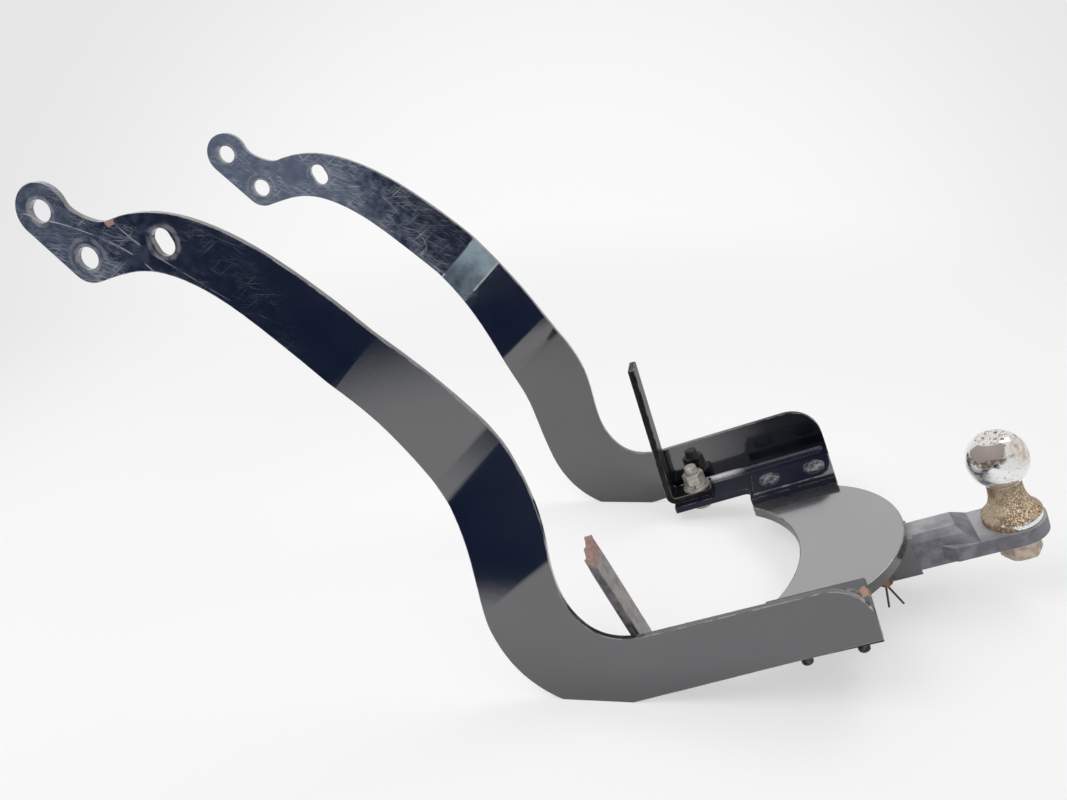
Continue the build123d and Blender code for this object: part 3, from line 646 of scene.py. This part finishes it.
# %% The five black paints
BLACK = (0.004, 0.005, 0.010)
NEAR_MARKS = {"scuffs_x": (-0.40, -0.56), "haze_share": 0.5, "veil": (-0.515, -0.560, 0.35), "sheen_at_bend": False}
FAR_MARKS = {"scuffs_x": (-0.32, -0.49), "haze_share": 0.9, "veil": (-0.41, -0.50, 0.75), "sheen_at_bend": True}
NEAR_SPOTS = (((-0.5166, -0.1470, 0.4310), 5.5 * MM), ((-0.1300, -0.1520, 0.0150), 6.0 * MM))
PLATE_SPOTS = (((-0.1270, -0.1080, -0.0180), 8.5 * MM),)

near_paint = black_paint("near_arm_paint", BLACK, 2.0, 0.05, 0.9, 0.5, arm=NEAR_MARKS, spots=NEAR_SPOTS)
far_paint = black_paint("far_arm_paint", BLACK, 2.0, 0.08, 0.7, 0.4, arm=FAR_MARKS, dim_x=(-0.27, -0.15))
plate_paint = black_paint(
    "plate_paint", (0.006, 0.008, 0.022), 1.25, 0.08, 0.3, 0.3, spots=PLATE_SPOTS, top_ior=1.6
)
crescent_paint = black_paint(
    "crescent_paint", (0.030, 0.031, 0.034), 1.7, 0.30, 0.4, 0.5, dull=0.10, top_ior=4.1
)
tube_paint = black_paint("tube_paint", (0.030, 0.031, 0.037), 1.8, 0.45, 0.8, 1.0, dull=0.25)
arm_paints = {"left": near_paint, "right": far_paint}

# %% [markdown]
# The plates. CAD gives their exact shape with sharp edges, but a sawn and sanded plate has
# edges rounded by about a millimetre, which is what catches the light. A Bevel needs clean
# faces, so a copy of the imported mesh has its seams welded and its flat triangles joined
# first, and slivers that the bevel leaves are closed after it. Weighted normals keep the flat
# faces flat, so that they mirror like real plate.

# %% Rounded edges
SHARP = radians(32)
FLAT = radians(0.3)
SEAM = 0.01 * MM
SLIVER = 0.003 * MM


def cleaned(node):
    """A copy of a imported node's shape, with its seams welded and its flat triangles joined."""
    shape = bmesh.new()
    shape.from_mesh(frame["nodes"][node].data)
    bmesh.ops.remove_doubles(shape, verts=shape.verts, dist=SEAM)
    bmesh.ops.dissolve_limit(shape, angle_limit=FLAT, verts=shape.verts, edges=shape.edges)
    return shape


def add_piece(mesh, finish, slot, *nodes, smooth_angle=SHARP):
    """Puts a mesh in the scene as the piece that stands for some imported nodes."""
    mesh.materials.clear()
    mesh.materials.append(finish)
    mesh.shade_smooth()
    mesh.set_sharp_from_angle(angle=smooth_angle)
    piece = bpy.data.objects.new(mesh.name, mesh)
    bpy.context.scene.collection.objects.link(piece)
    even = piece.modifiers.new("even normals", "WEIGHTED_NORMAL")
    even.keep_sharp = True
    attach(piece, frame["nodes"][nodes[0]]["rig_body"])
    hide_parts(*nodes)
    print(piece.name, len(mesh.polygons), "faces")


def softened(node, width, finish, slot, segments=2):
    """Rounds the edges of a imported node's copy, which then stands for it."""
    shape = cleaned(node)
    edges = [e for e in shape.edges if e.is_manifold and e.calc_face_angle(0) > SHARP]
    bmesh.ops.bevel(
        shape, geom=edges, offset=width, segments=segments, affect="EDGES", clamp_overlap=True
    )
    bmesh.ops.remove_doubles(shape, verts=shape.verts, dist=SLIVER)
    add_piece(mesh_from(shape, f"{node}_dressed"), finish, slot, node)


# %% Plates
for side in ("left", "right"):
    softened(f"{side}_arm", 0.8 * MM, arm_paints[side], "black_paint", segments=3)
    softened(f"{side}_flange", 0.8 * MM, plate_paint, "black_paint", segments=3)
    softened(f"{side}_strap_plate", 0.5 * MM, plate_paint, "black_paint")
softened("crescent_plate", 0.5 * MM, crescent_paint, "black_paint")
softened("receiver_tube", 0.6 * MM, tube_paint, "black_paint", segments=3)

# %% [markdown]
# Bare and rusty steel. One recipe makes the drawbar's dull grey, the zinc of the strut bolts,
# the dark carriage bolts and the rusty nut and pin: a metal colour that varies, with rust
# over it in an amount given for each. The drawbar's upper faces are paler than its sides.


# %% Steel finishes
def steel(name, light, dark, rust_amount, rough, metallic, grain, top=None):
    """Steel with rust over it. grain is how fine both are, and top is the colour of faces
    that look up."""
    material, tree, skin, place = new_finish(name)
    patch = cloud(tree, place, grain, 5.0)
    metal = mix(tree, ramp(tree, patch, 0.35, 0.65), dark, light)
    if top:
        even = ramp(tree, cloud(tree, place, 50.0, 4.0), 0.36, 0.60, 0.45, 1.0)
        metal = mix(tree, times(tree, ramp(tree, facing(tree, "Z"), 0.70, 0.92), even), metal, top)
    rust = group_node(tree, RUST, Vector=place, Amount=rust_amount, Scale=grain * 1.5)
    feed(tree, skin["Base Color"], mix(tree, rust["Mask"], metal, rust["Colour"]))
    feed(tree, skin["Metallic"], times(tree, rest_of(tree, rust["Mask"]), metallic))
    uneven = plus(tree, rough, times(tree, patch, 0.2), times(tree, rust["Mask"], 0.3))
    feed(tree, skin["Roughness"], uneven)
    height = plus(tree, times(tree, cloud(tree, place, grain * 8.0), 0.3), rust["Height"])
    feed(tree, skin["Normal"], bump(tree, height, 0.7, 0.2 * MM))
    print(name, len(tree.nodes), "nodes")
    return material


bar_steel = steel(
    "drawbar_steel", (0.220, 0.218, 0.245), (0.130, 0.130, 0.155), 0.14, 0.40, 0.25, 90.0,
    top=(0.40, 0.395, 0.41)
)
nut_rust = steel("rusty_nut", (0.66, 0.55, 0.46), (0.40, 0.30, 0.23), 0.28, 0.48, 0.1, 140.0)
pin_rust = steel("rusty_pin", (0.33, 0.24, 0.19), (0.14, 0.09, 0.07), 0.55, 0.6, 0.1, 140.0)
zinc = steel("aged_zinc", (0.56, 0.53, 0.49), (0.36, 0.33, 0.30), 0.12, 0.42, 0.45, 150.0)
dark_bolt = steel("dark_bolt", (0.180, 0.178, 0.185), (0.018, 0.018, 0.026), 0.14, 0.35, 0.3, 260.0)
cotter_steel = steel("dark_wire", (0.10, 0.095, 0.09), (0.030, 0.028, 0.030), 0.25, 0.45, 0.3, 200.0)

# %% [markdown]
# The drawbar and the small parts keep their CAD shape too, with a rounding that suits each
# size. The cotter pin is round wire already, so its packed object only gets a new material.

# %% Drawbar, nuts, pin and washers
softened("drawbar", 1.0 * MM, bar_steel, "grey_steel", segments=3)
softened("ball_nut", 0.35 * MM, nut_rust, "rusty_steel")
softened("ball_lock_washer", 0.3 * MM, pin_rust, "rusty_steel")
softened("hitch_pin", 0.4 * MM, pin_rust, "rusty_steel")
for side in ("left", "right"):
    for part in ("strut_nut", "strut_washer", "strut_lock_washer"):
        softened(f"{side}_{part}", 0.3 * MM, zinc, "zinc")
    for part in ("carriage_nuts", "carriage_lock_washers"):
        softened(f"{side}_{part}", 0.25 * MM, dark_bolt, "dark_steel")
frame["nodes"]["cotter_pin"].data.materials.clear()
frame["nodes"]["cotter_pin"].data.materials.append(cotter_steel)
print("cotter pin painted")

# %% [markdown]
# The tow ball. The chrome is still bright on the ball, brown with tarnish below its flat top,
# and rusted through in specks on the flat, the neck and the flange. Heights and distances
# from a few places on the ball give each region its own amount of rust and tarnish, which
# needs no painting by hand. All of them are measured from the ball's centre, the origin.

# %% Where the chrome is rusty or tarnished
BALL_FOOT = (-0.022, -0.019)
NECK_TOP = (-0.0185, -0.0205)
NECK_FOOT = (-0.0555, -0.046)
FLANGE_DOWN = (-0.038, -0.043)
FLANGE_FRONT = (0.012, -0.006)
FLAT_TOP = (0.0195, 0.0204)
TARNISH_TOP = (0.0201, 0.0196)
HALO_TOP = (0.0120, 0.0100)
SHOULDER_UP = (0.006, 0.018)
SHOULDER_REAR = (0.004, 0.016)
TARNISH_PLACE = (-0.0100, -0.0175, 0.0160)
TARNISH_SQUASH = (0.9, 0.9, 1.70)
TARNISH_REACH = (0.0210, 0.0197)
TARNISH_RAGGED = 12 * MM
HALO_REACH = (0.0275, 0.0215)
TAN_PLACE = (0.019, -0.012, 0.010)
TAN_REACH = (0.018, 0.006)
GOLDEN_PLACE = (0.010, -0.020, -0.042)
GOLDEN_REACH = (0.026, 0.010)


def ball_rust(tree, place, height, along, neck):
    """How much rust each region of the ball, the neck and the flange has."""
    flange = times(tree, ramp(tree, height, *FLANGE_DOWN), ramp(tree, along, *FLANGE_FRONT), 0.70)
    shoulder = times(tree, ramp(tree, height, *SHOULDER_UP), ramp(tree, along, *SHOULDER_REAR), 0.42)
    flat_top = times(tree, ramp(tree, height, *FLAT_TOP), 0.45)
    amount = most(tree, times(tree, neck, 0.80), flange, flat_top, shoulder, 0.24)
    return group_node(tree, RUST, Vector=place, Amount=amount, Scale=330.0)


def ball_tarnish(tree, place, height):
    """The brown patch below the ball's flat top, and the golden halo round its lower part."""
    apart = vector_calc(tree, "SUBTRACT", place, TARNISH_PLACE)
    reach = vector_calc(tree, "LENGTH", vector_calc(tree, "MULTIPLY", apart, TARNISH_SQUASH))
    ragged = plus(tree, reach, times(tree, cloud(tree, place, 130.0, 5.0), TARNISH_RAGGED))
    halo = times(tree, ramp(tree, ragged, *HALO_REACH), ramp(tree, height, *HALO_TOP))
    patch = times(tree, ramp(tree, ragged, *TARNISH_REACH), ramp(tree, height, *TARNISH_TOP))
    return patch, halo


def neck_colour(tree, place):
    """The neck's brown rust, golden and grainy on the side that the light reaches."""
    brown_share = ramp(tree, cloud(tree, place, 85.0, 6.0), 0.38, 0.62)
    brown = mix(tree, brown_share, (0.21, 0.135, 0.085), (0.43, 0.34, 0.24))
    from_light = vector_calc(tree, "DISTANCE", place, GOLDEN_PLACE)
    sunny = ramp(tree, from_light, *GOLDEN_REACH, 0.25, 1.0)
    grain = cloud(tree, place, 820.0)
    golden = times(tree, ramp(tree, grain, 0.50, 0.60), sunny)
    dark = times(tree, ramp(tree, grain, 0.46, 0.36), sunny)
    return mix(tree, dark, mix(tree, golden, brown, (0.86, 0.66, 0.38)), (0.10, 0.055, 0.030))


print("tarnish at", TARNISH_PLACE)

# %% [markdown]
# The chrome itself is a metal whose colour goes from bright to tan and brown. Rust covers it
# in specks and dark pits stand mostly in the halo round the tarnish, and neither is metallic.
# Shallow dents make the mirrored studio wavy, which a perfect sphere would never show.

# %% Chrome
BRIGHT = (0.86, 0.86, 0.85)
TAN = (0.62, 0.52, 0.42)
HALO = (0.48, 0.37, 0.20)
TARNISH = (0.31, 0.255, 0.225)
PIT = (0.07, 0.05, 0.04)


def chrome(name):
    material, tree, skin, place = new_finish(name)
    height = axis_of(tree, place, "Z")
    neck = times(tree, ramp(tree, height, *NECK_TOP), ramp(tree, height, *NECK_FOOT))
    rust = ball_rust(tree, place, height, axis_of(tree, place, "X"), neck)
    tarnish, halo = ball_tarnish(tree, place, height)
    freckles = ramp(tree, cloud(tree, place, 260.0, 5.0), 0.42, 0.58, 0.25, 1.0)
    tan_share = ramp(tree, vector_calc(tree, "DISTANCE", place, TAN_PLACE), *TAN_REACH)
    metal = mix(tree, times(tree, tan_share, freckles), BRIGHT, TAN)
    metal = mix(tree, times(tree, halo, freckles), metal, HALO)
    metal = mix(tree, tarnish, metal, TARNISH)
    specks = ramp(tree, cloud(tree, place, 480.0, 2.0), 0.66, 0.72)
    specks = times(tree, specks, ramp(tree, height, *BALL_FOOT))
    pitted = times(tree, halo, ramp(tree, cloud(tree, place, 340.0, 4.0), 0.45, 0.53))
    specks = most(tree, specks, pitted)
    rust_colour = mix(tree, neck, rust["Colour"], neck_colour(tree, place))
    colour = mix(tree, rust["Mask"], metal, rust_colour)
    feed(tree, skin["Base Color"], mix(tree, times(tree, specks, 0.8), colour, PIT))
    bare = rest_of(tree, most(tree, rust["Mask"], specks))
    feed(tree, skin["Metallic"], times(tree, bare, rest_of(tree, tarnish)))
    rough = plus(tree, 0.07, times(tree, cloud(tree, place, 90.0, 6.0), 0.16), times(tree, tarnish, 0.35))
    feed(tree, skin["Roughness"], plus(tree, rough, times(tree, rust["Mask"], 0.5)))
    dents = times(tree, cloud(tree, place, 75.0, 2.0), 0.25)
    relief = calc(tree, "SUBTRACT", dents, rust["Height"])
    feed(tree, skin["Normal"], bump(tree, relief, 0.6, 0.4 * MM))
    print(name, len(tree.nodes), "nodes")
    return material


softened("tow_ball", 0.7 * MM, chrome("pitted_chrome"), "ball_chrome", segments=3)

# %% [markdown]
# Welds. A bead is a row of small frozen ripples, each a little crooked. Its cross-section is
# a bulging corner fillet, swept along the joint in short steps while the size ripples. The
# skin over such rings of points is a function of its own, because the bolts need it again.

# %% Rippled weld bead
RIPPLE = 3.0 * MM
RIPPLE_STEPS = 5
END_STEPS = 6
ARC_POINTS = 9


def skin_over(shape, rings, top=True):
    """Faces from each ring of points to the next one, over the first ring and over the last."""
    for first, second in zip(rings, rings[1:]):
        for a in range(len(first)):
            b = (a + 1) % len(first)
            shape.faces.new((first[a], first[b], second[b], second[a]))
    shape.faces.new(rings[0][::-1])
    if top:
        shape.faces.new(rings[-1])


def weld_bead(node, width, seed, down=False):
    """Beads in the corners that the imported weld's solids fill, one for each solid. They lie
    below the box's top if down is set, and above its foot otherwise."""
    low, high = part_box(node)
    if down:
        corner_z = high.z
        walls = [(low.y + width, -1), (high.y - width, 1)]
    else:
        corner_z = low.z
        walls = [(low.y, 1)] if low.y < 0 else [(high.y, -1)]
    shape = bmesh.new()
    steps = int((high.x - low.x) / RIPPLE * RIPPLE_STEPS)
    for wall_y, outward in walls:
        rings = []
        for step in range(steps + 1):
            x = low.x + (high.x - low.x) * step / steps
            phase = step / RIPPLE_STEPS + 0.35 * noise.noise(Vector((x * 90, seed, wall_y * 40)))
            swell = 0.88 + 0.12 * abs(sin(pi * phase)) ** 0.7
            swell *= 1 - 0.10 * abs(noise.noise(Vector((x * 60, seed + 5.0, wall_y))))
            ends = min(1.0, (step + 0.5) / END_STEPS, (steps - step + 0.5) / END_STEPS) ** 0.5
            ring = [shape.verts.new((x, wall_y, corner_z))]
            for turn in range(ARC_POINTS):
                angle = pi / 2 * turn / (ARC_POINTS - 1)
                across = width * swell * ends * cos(angle) ** 0.75
                up = width * swell * ends * sin(angle) ** 0.75
                trailing = min(max(x - 0.5 * RIPPLE * sin(2 * angle), low.x), high.x)
                point = (trailing, wall_y + outward * across, corner_z + (-up if down else up))
                ring.append(shape.verts.new(point))
            rings.append(ring)
        skin_over(shape, rings)
    bmesh.ops.recalc_face_normals(shape, faces=shape.faces)
    return mesh_from(shape, f"{node}_bead")


print("a weld ripple is", RIPPLE, "m long")

# %% [markdown]
# The flange welds are bare metal in front, coloured near white as a painted highlight, and
# painted black towards the rear, and the receiver's welds are rusty. The change along the
# bead is a smooth step of X with a noise added, so that the paint's edge is ragged.

# %% Welds
FLANGE_BEAD = 4.0 * MM
RECEIVER_BEAD = 5.0 * MM
WELD_PAINT_X = (-0.215, -0.185)
WELD_SMOOTH = radians(50)


def weld_finish():
    """Bright bead in front, bare metal coloured near white as a painted highlight, painted black behind."""
    material, tree, skin, place = new_finish("bright_weld")
    ragged = plus(tree, axis_of(tree, place, "X"), times(tree, cloud(tree, place, 40.0), 0.03))
    painted = ramp(tree, ragged, *WELD_PAINT_X)
    # Near white in front: bare weld metal with a painted highlight on it.
    metal = mix(tree, cloud(tree, place, 300.0), (0.62, 0.62, 0.63), (0.96, 0.96, 0.95))
    feed(tree, skin["Base Color"], mix(tree, painted, metal, (0.030, 0.034, 0.055)))
    less = times(tree, painted, 0.2)
    feed(tree, skin["Metallic"], calc(tree, "SUBTRACT", 0.2, less))
    feed(tree, skin["Roughness"], calc(tree, "SUBTRACT", 0.42, less))
    feed(tree, skin["Normal"], bump(tree, cloud(tree, place, 700.0), 0.4, 0.2 * MM))
    return material


bright_weld = weld_finish()
rusty_weld = steel("rusty_weld", (0.20, 0.13, 0.10), (0.050, 0.036, 0.034), 0.50, 0.55, 0.1, 120.0)
for side, seed in (("left", 1.0), ("right", 2.0)):
    node = f"{side}_flange_weld"
    bead = weld_bead(node, FLANGE_BEAD, seed)
    add_piece(bead, bright_weld, "bright_weld", node, smooth_angle=WELD_SMOOTH)
bead = weld_bead("receiver_weld", RECEIVER_BEAD, 3.0, down=True)
add_piece(bead, rusty_weld, "rusty_weld", "receiver_weld", smooth_angle=WELD_SMOOTH)

# %% [markdown]
# Threaded bolts. The strut bolts stand out above their nuts, and the carriage bolts below
# theirs, so their threads show. A thread is a helix, not a stack of rings: every point of a
# round grid moves in or out by a triangle wave of its height, counted in pitches, less its
# share of a turn.

# %% Threads and hexagons
TURN_POINTS = 40
HEXAGON_POINTS = 48
THREAD_ROWS = 6
THREAD_SMOOTH = radians(40)
BOLT_CHAMFER = 1.0 * MM


def ring_of(shape, centre, z, reaches):
    """A ring of points round centre, which is (x, y), at one height and the given distances."""
    ring = []
    for step, reach in enumerate(reaches):
        angle = tau * step / len(reaches)
        ring.append(shape.verts.new((centre[0] + reach * cos(angle), centre[1] + reach * sin(angle), z)))
    return ring


def threaded_end(shape, centre, top, bottom, radius, pitch, depth):
    """A threaded stud from bottom to top, closed at both ends."""
    rows = int((top - bottom) / pitch * THREAD_ROWS)
    rings = []
    for row in range(rows + 1):
        z = bottom + (top - bottom) * row / rows
        tapered = radius - max(0.0, BOLT_CHAMFER - min(z - bottom, top - z))
        reaches = []
        for step in range(TURN_POINTS):
            phase = ((z - bottom) / pitch - step / TURN_POINTS) % 1.0
            reaches.append(min(radius - depth * abs(2 * phase - 1), tapered))
        rings.append(ring_of(shape, centre, z, reaches))
    skin_over(shape, rings)


def hexagon_block(shape, centre, bottom, top, across_flats):
    """A hexagon bolt head with its chamfered corners."""
    half = across_flats / 2
    corner = half / cos(radians(30))
    cut = -1.7 * BOLT_CHAMFER
    rows = ((bottom, cut), (bottom + BOLT_CHAMFER, 0.0), (top - BOLT_CHAMFER, 0.0), (top, cut))
    rings = []
    for z, inset in rows:
        reaches = []
        for step in range(HEXAGON_POINTS):
            off_flat = tau * step / HEXAGON_POINTS % (pi / 3) - pi / 6
            reaches.append(min(half / cos(off_flat), corner + inset))
        rings.append(ring_of(shape, centre, z, reaches))
    skin_over(shape, rings)


def middle_of(node):
    low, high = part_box(node)
    return (low.x + high.x) / 2, (low.y + high.y) / 2


print("thread points in a turn:", TURN_POINTS)

# %% [markdown]
# A strut bolt has its hexagon head below the flange, and only its threaded end shows above
# the nut. Head and stud are two closed shells in one mesh, which need no joining because the
# flange hides where they meet.

# %% Strut bolts
STRUT_BOLT_R = 6.35 * MM
STRUT_BOLT_HEAD = 19.05 * MM
STRUT_PITCH = 1.95 * MM
STRUT_THREAD = 0.9 * MM
STUD_IN_HEAD = 2 * MM


def strut_bolt(side):
    node = f"{side}_strut_bolt"
    low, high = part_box(node)
    flange_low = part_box(f"{side}_flange")[0].z
    centre = middle_of(node)
    shape = bmesh.new()
    threaded_end(
        shape, centre, high.z, flange_low - STUD_IN_HEAD, STRUT_BOLT_R, STRUT_PITCH, STRUT_THREAD
    )
    hexagon_block(shape, centre, low.z, flange_low, STRUT_BOLT_HEAD)
    add_piece(mesh_from(shape, f"{node}_threaded"), zinc, "zinc", node, smooth_angle=THREAD_SMOOTH)


for side in ("left", "right"):
    strut_bolt(side)

# %% [markdown]
# A carriage bolt has a low round head, made of rings that step up and in to a tip, and a
# threaded end that hangs below the crescent plate. Both bolts of a side are one CAD node, so
# they are one piece here too.

# %% Carriage bolts
CARRIAGE_BOLT_R = 4.76 * MM
CARRIAGE_PITCH = 1.59 * MM
CARRIAGE_THREAD = 0.7 * MM
STUD_BELOW_DOME = 1 * MM
DOME = ((10.5, 0.0), (10.5, 0.9), (10.1, 1.7), (9.0, 2.6), (7.2, 3.6), (5.0, 4.4), (2.6, 4.9))
DOME_R = DOME[0][0] * MM
DOME_TOP = 5.0 * MM


def domed_head(shape, centre, foot):
    """A carriage bolt's round head, which stands on foot."""
    rings = []
    for reach, up in DOME:
        rings.append(ring_of(shape, centre, foot + up * MM, [reach * MM] * TURN_POINTS))
    skin_over(shape, rings, top=False)
    tip = shape.verts.new((*centre, foot + DOME_TOP))
    for a in range(TURN_POINTS):
        shape.faces.new((rings[-1][a], rings[-1][(a + 1) % TURN_POINTS], tip))


def carriage_bolts(side):
    node = f"{side}_carriage_bolts"
    low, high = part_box(node)
    strap_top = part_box(f"{side}_strap_plate")[1].z
    apart = (high.x - low.x) / 2 - DOME_R
    middle_x, y = middle_of(node)
    shape = bmesh.new()
    for x in (middle_x - apart, middle_x + apart):
        stud_top = strap_top - STUD_BELOW_DOME
        threaded_end(shape, (x, y), stud_top, low.z, CARRIAGE_BOLT_R, CARRIAGE_PITCH, CARRIAGE_THREAD)
        domed_head(shape, (x, y), strap_top)
    mesh = mesh_from(shape, f"{node}_threaded")
    add_piece(mesh, dark_bolt, "dark_steel", node, smooth_angle=THREAD_SMOOTH)


for side in ("left", "right"):
    carriage_bolts(side)

# %% [markdown]
# Struts. The right one is a plain bar with a bent foot. The left one is torn off: its end is
# crumpled, flaking and brown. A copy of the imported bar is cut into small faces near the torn
# end and pushed about by a noise that grows towards the tip, always inwards, so that the bar
# keeps its size.

# %% The torn strut's shape
TORN_CUTS = (6, 10, 14, 18, 24)
TORN_LENGTH = 24 * MM
TORN_MARGIN = 0.5 * MM
CRUMPLED_LENGTH = 22 * MM
CRUMPLE_DEPTH = 1.1 * MM
SMALL_EDGE = 1.3 * MM


def torn_strut(node):
    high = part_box(node)[1]
    torn_z = high.z - TORN_LENGTH
    shape = cleaned(node)
    for depth in TORN_CUTS:
        cut = shape.verts[:] + shape.edges[:] + shape.faces[:]
        bmesh.ops.bisect_plane(
            shape, geom=cut, plane_co=(0, 0, high.z - depth * MM), plane_no=(0, 0, 1)
        )
    bmesh.ops.triangulate(shape, faces=[f for f in shape.faces if f.calc_center_median().z > torn_z])
    for _ in range(3):
        long_edges = []
        for edge in shape.edges:
            in_torn_part = min(v.co.z for v in edge.verts) > torn_z - TORN_MARGIN
            if edge.calc_length() > SMALL_EDGE and in_torn_part:
                long_edges.append(edge)
        bmesh.ops.subdivide_edges(shape, edges=long_edges, cuts=1, use_grid_fill=True)
    bmesh.ops.triangulate(shape, faces=[f for f in shape.faces if len(f.verts) > 4])
    shape.normal_update()
    moves = []
    for vert in shape.verts:
        near_tip = max(0.0, 1 - (high.z - vert.co.z) / CRUMPLED_LENGTH)
        crumple = 0.5 + 0.5 * noise.noise(vert.co * 260) + 0.3 * noise.noise(vert.co * 700)
        moves.append((vert, -vert.normal * near_tip * CRUMPLE_DEPTH * max(0.0, crumple)))
    for vert, move in moves:
        vert.co += move
    return mesh_from(shape, f"{node}_torn")


left_strut = torn_strut("left_strut")
print("torn strut", len(left_strut.vertices), "points")

# %% [markdown]
# The struts' paint is thin and uneven, and worn along the edges. On the torn one pinkish rust
# starts a little below the tear, where a noise makes its limit ragged, and the rear face is
# painted paler in patches, as painted light on that side.

# %% Struts
TORN_RUST_Z = (0.092, 0.102)


def strut_paint(name, light, dark, ior, rear=None):
    """Worn paint. rear is set for the torn strut only: the paler colour of its rear face, painted
    light on that side. That strut is also rusty at its top."""
    material, tree, skin, place = new_finish(name, IOR=ior)
    edge = group_node(tree, EDGE_WEAR, Vector=place, Radius=0.0012, Patchiness=0.44)["Mask"]
    base = mix(tree, ramp(tree, cloud(tree, place, 110.0, 8.0), 0.35, 0.65), dark, light)
    amount = 0.20
    if rear:
        ragged = plus(tree, axis_of(tree, place, "Z"), times(tree, cloud(tree, place, 60.0), 0.03))
        amount = plus(tree, amount, times(tree, ramp(tree, ragged, *TORN_RUST_Z), 0.6))
        # Painted light: the rear face is paler, in patches.
        sheen_patches = ramp(tree, cloud(tree, place, 150.0, 8.0), 0.34, 0.60, 0.55, 1.0)
        base = mix(tree, times(tree, ramp(tree, facing(tree, "X"), 0.35, 0.75), sheen_patches), base, rear)
    base = mix(tree, times(tree, edge, 0.5), base, BARE_STEEL)
    rust = group_node(tree, RUST, Vector=place, Amount=amount, Scale=90.0)
    dull_rust = mix(tree, cloud(tree, place, 420.0), (0.16, 0.085, 0.075), (0.52, 0.36, 0.31))
    feed(tree, skin["Base Color"], mix(tree, rust["Mask"], base, dull_rust))
    feed(tree, skin["Roughness"], plus(tree, 0.36, times(tree, rust["Mask"], 0.4)))
    grain = plus(tree, cloud(tree, place, 500.0), rust["Height"])
    feed(tree, skin["Normal"], bump(tree, grain, 0.5, 0.3 * MM))
    print(name, len(tree.nodes), "nodes")
    return material


# The torn strut's rear face colour is painted light on that side.
torn_paint = strut_paint(
    "torn_strut_paint", (0.130, 0.122, 0.135), (0.055, 0.052, 0.062), 1.45, rear=(0.36, 0.34, 0.32)
)
plain_paint = strut_paint("strut_paint", (0.016, 0.017, 0.018), (0.005, 0.006, 0.006), 1.25)
add_piece(left_strut, torn_paint, "worn_strut", "left_strut")
softened("right_strut", 0.6 * MM, plain_paint, "black_paint")
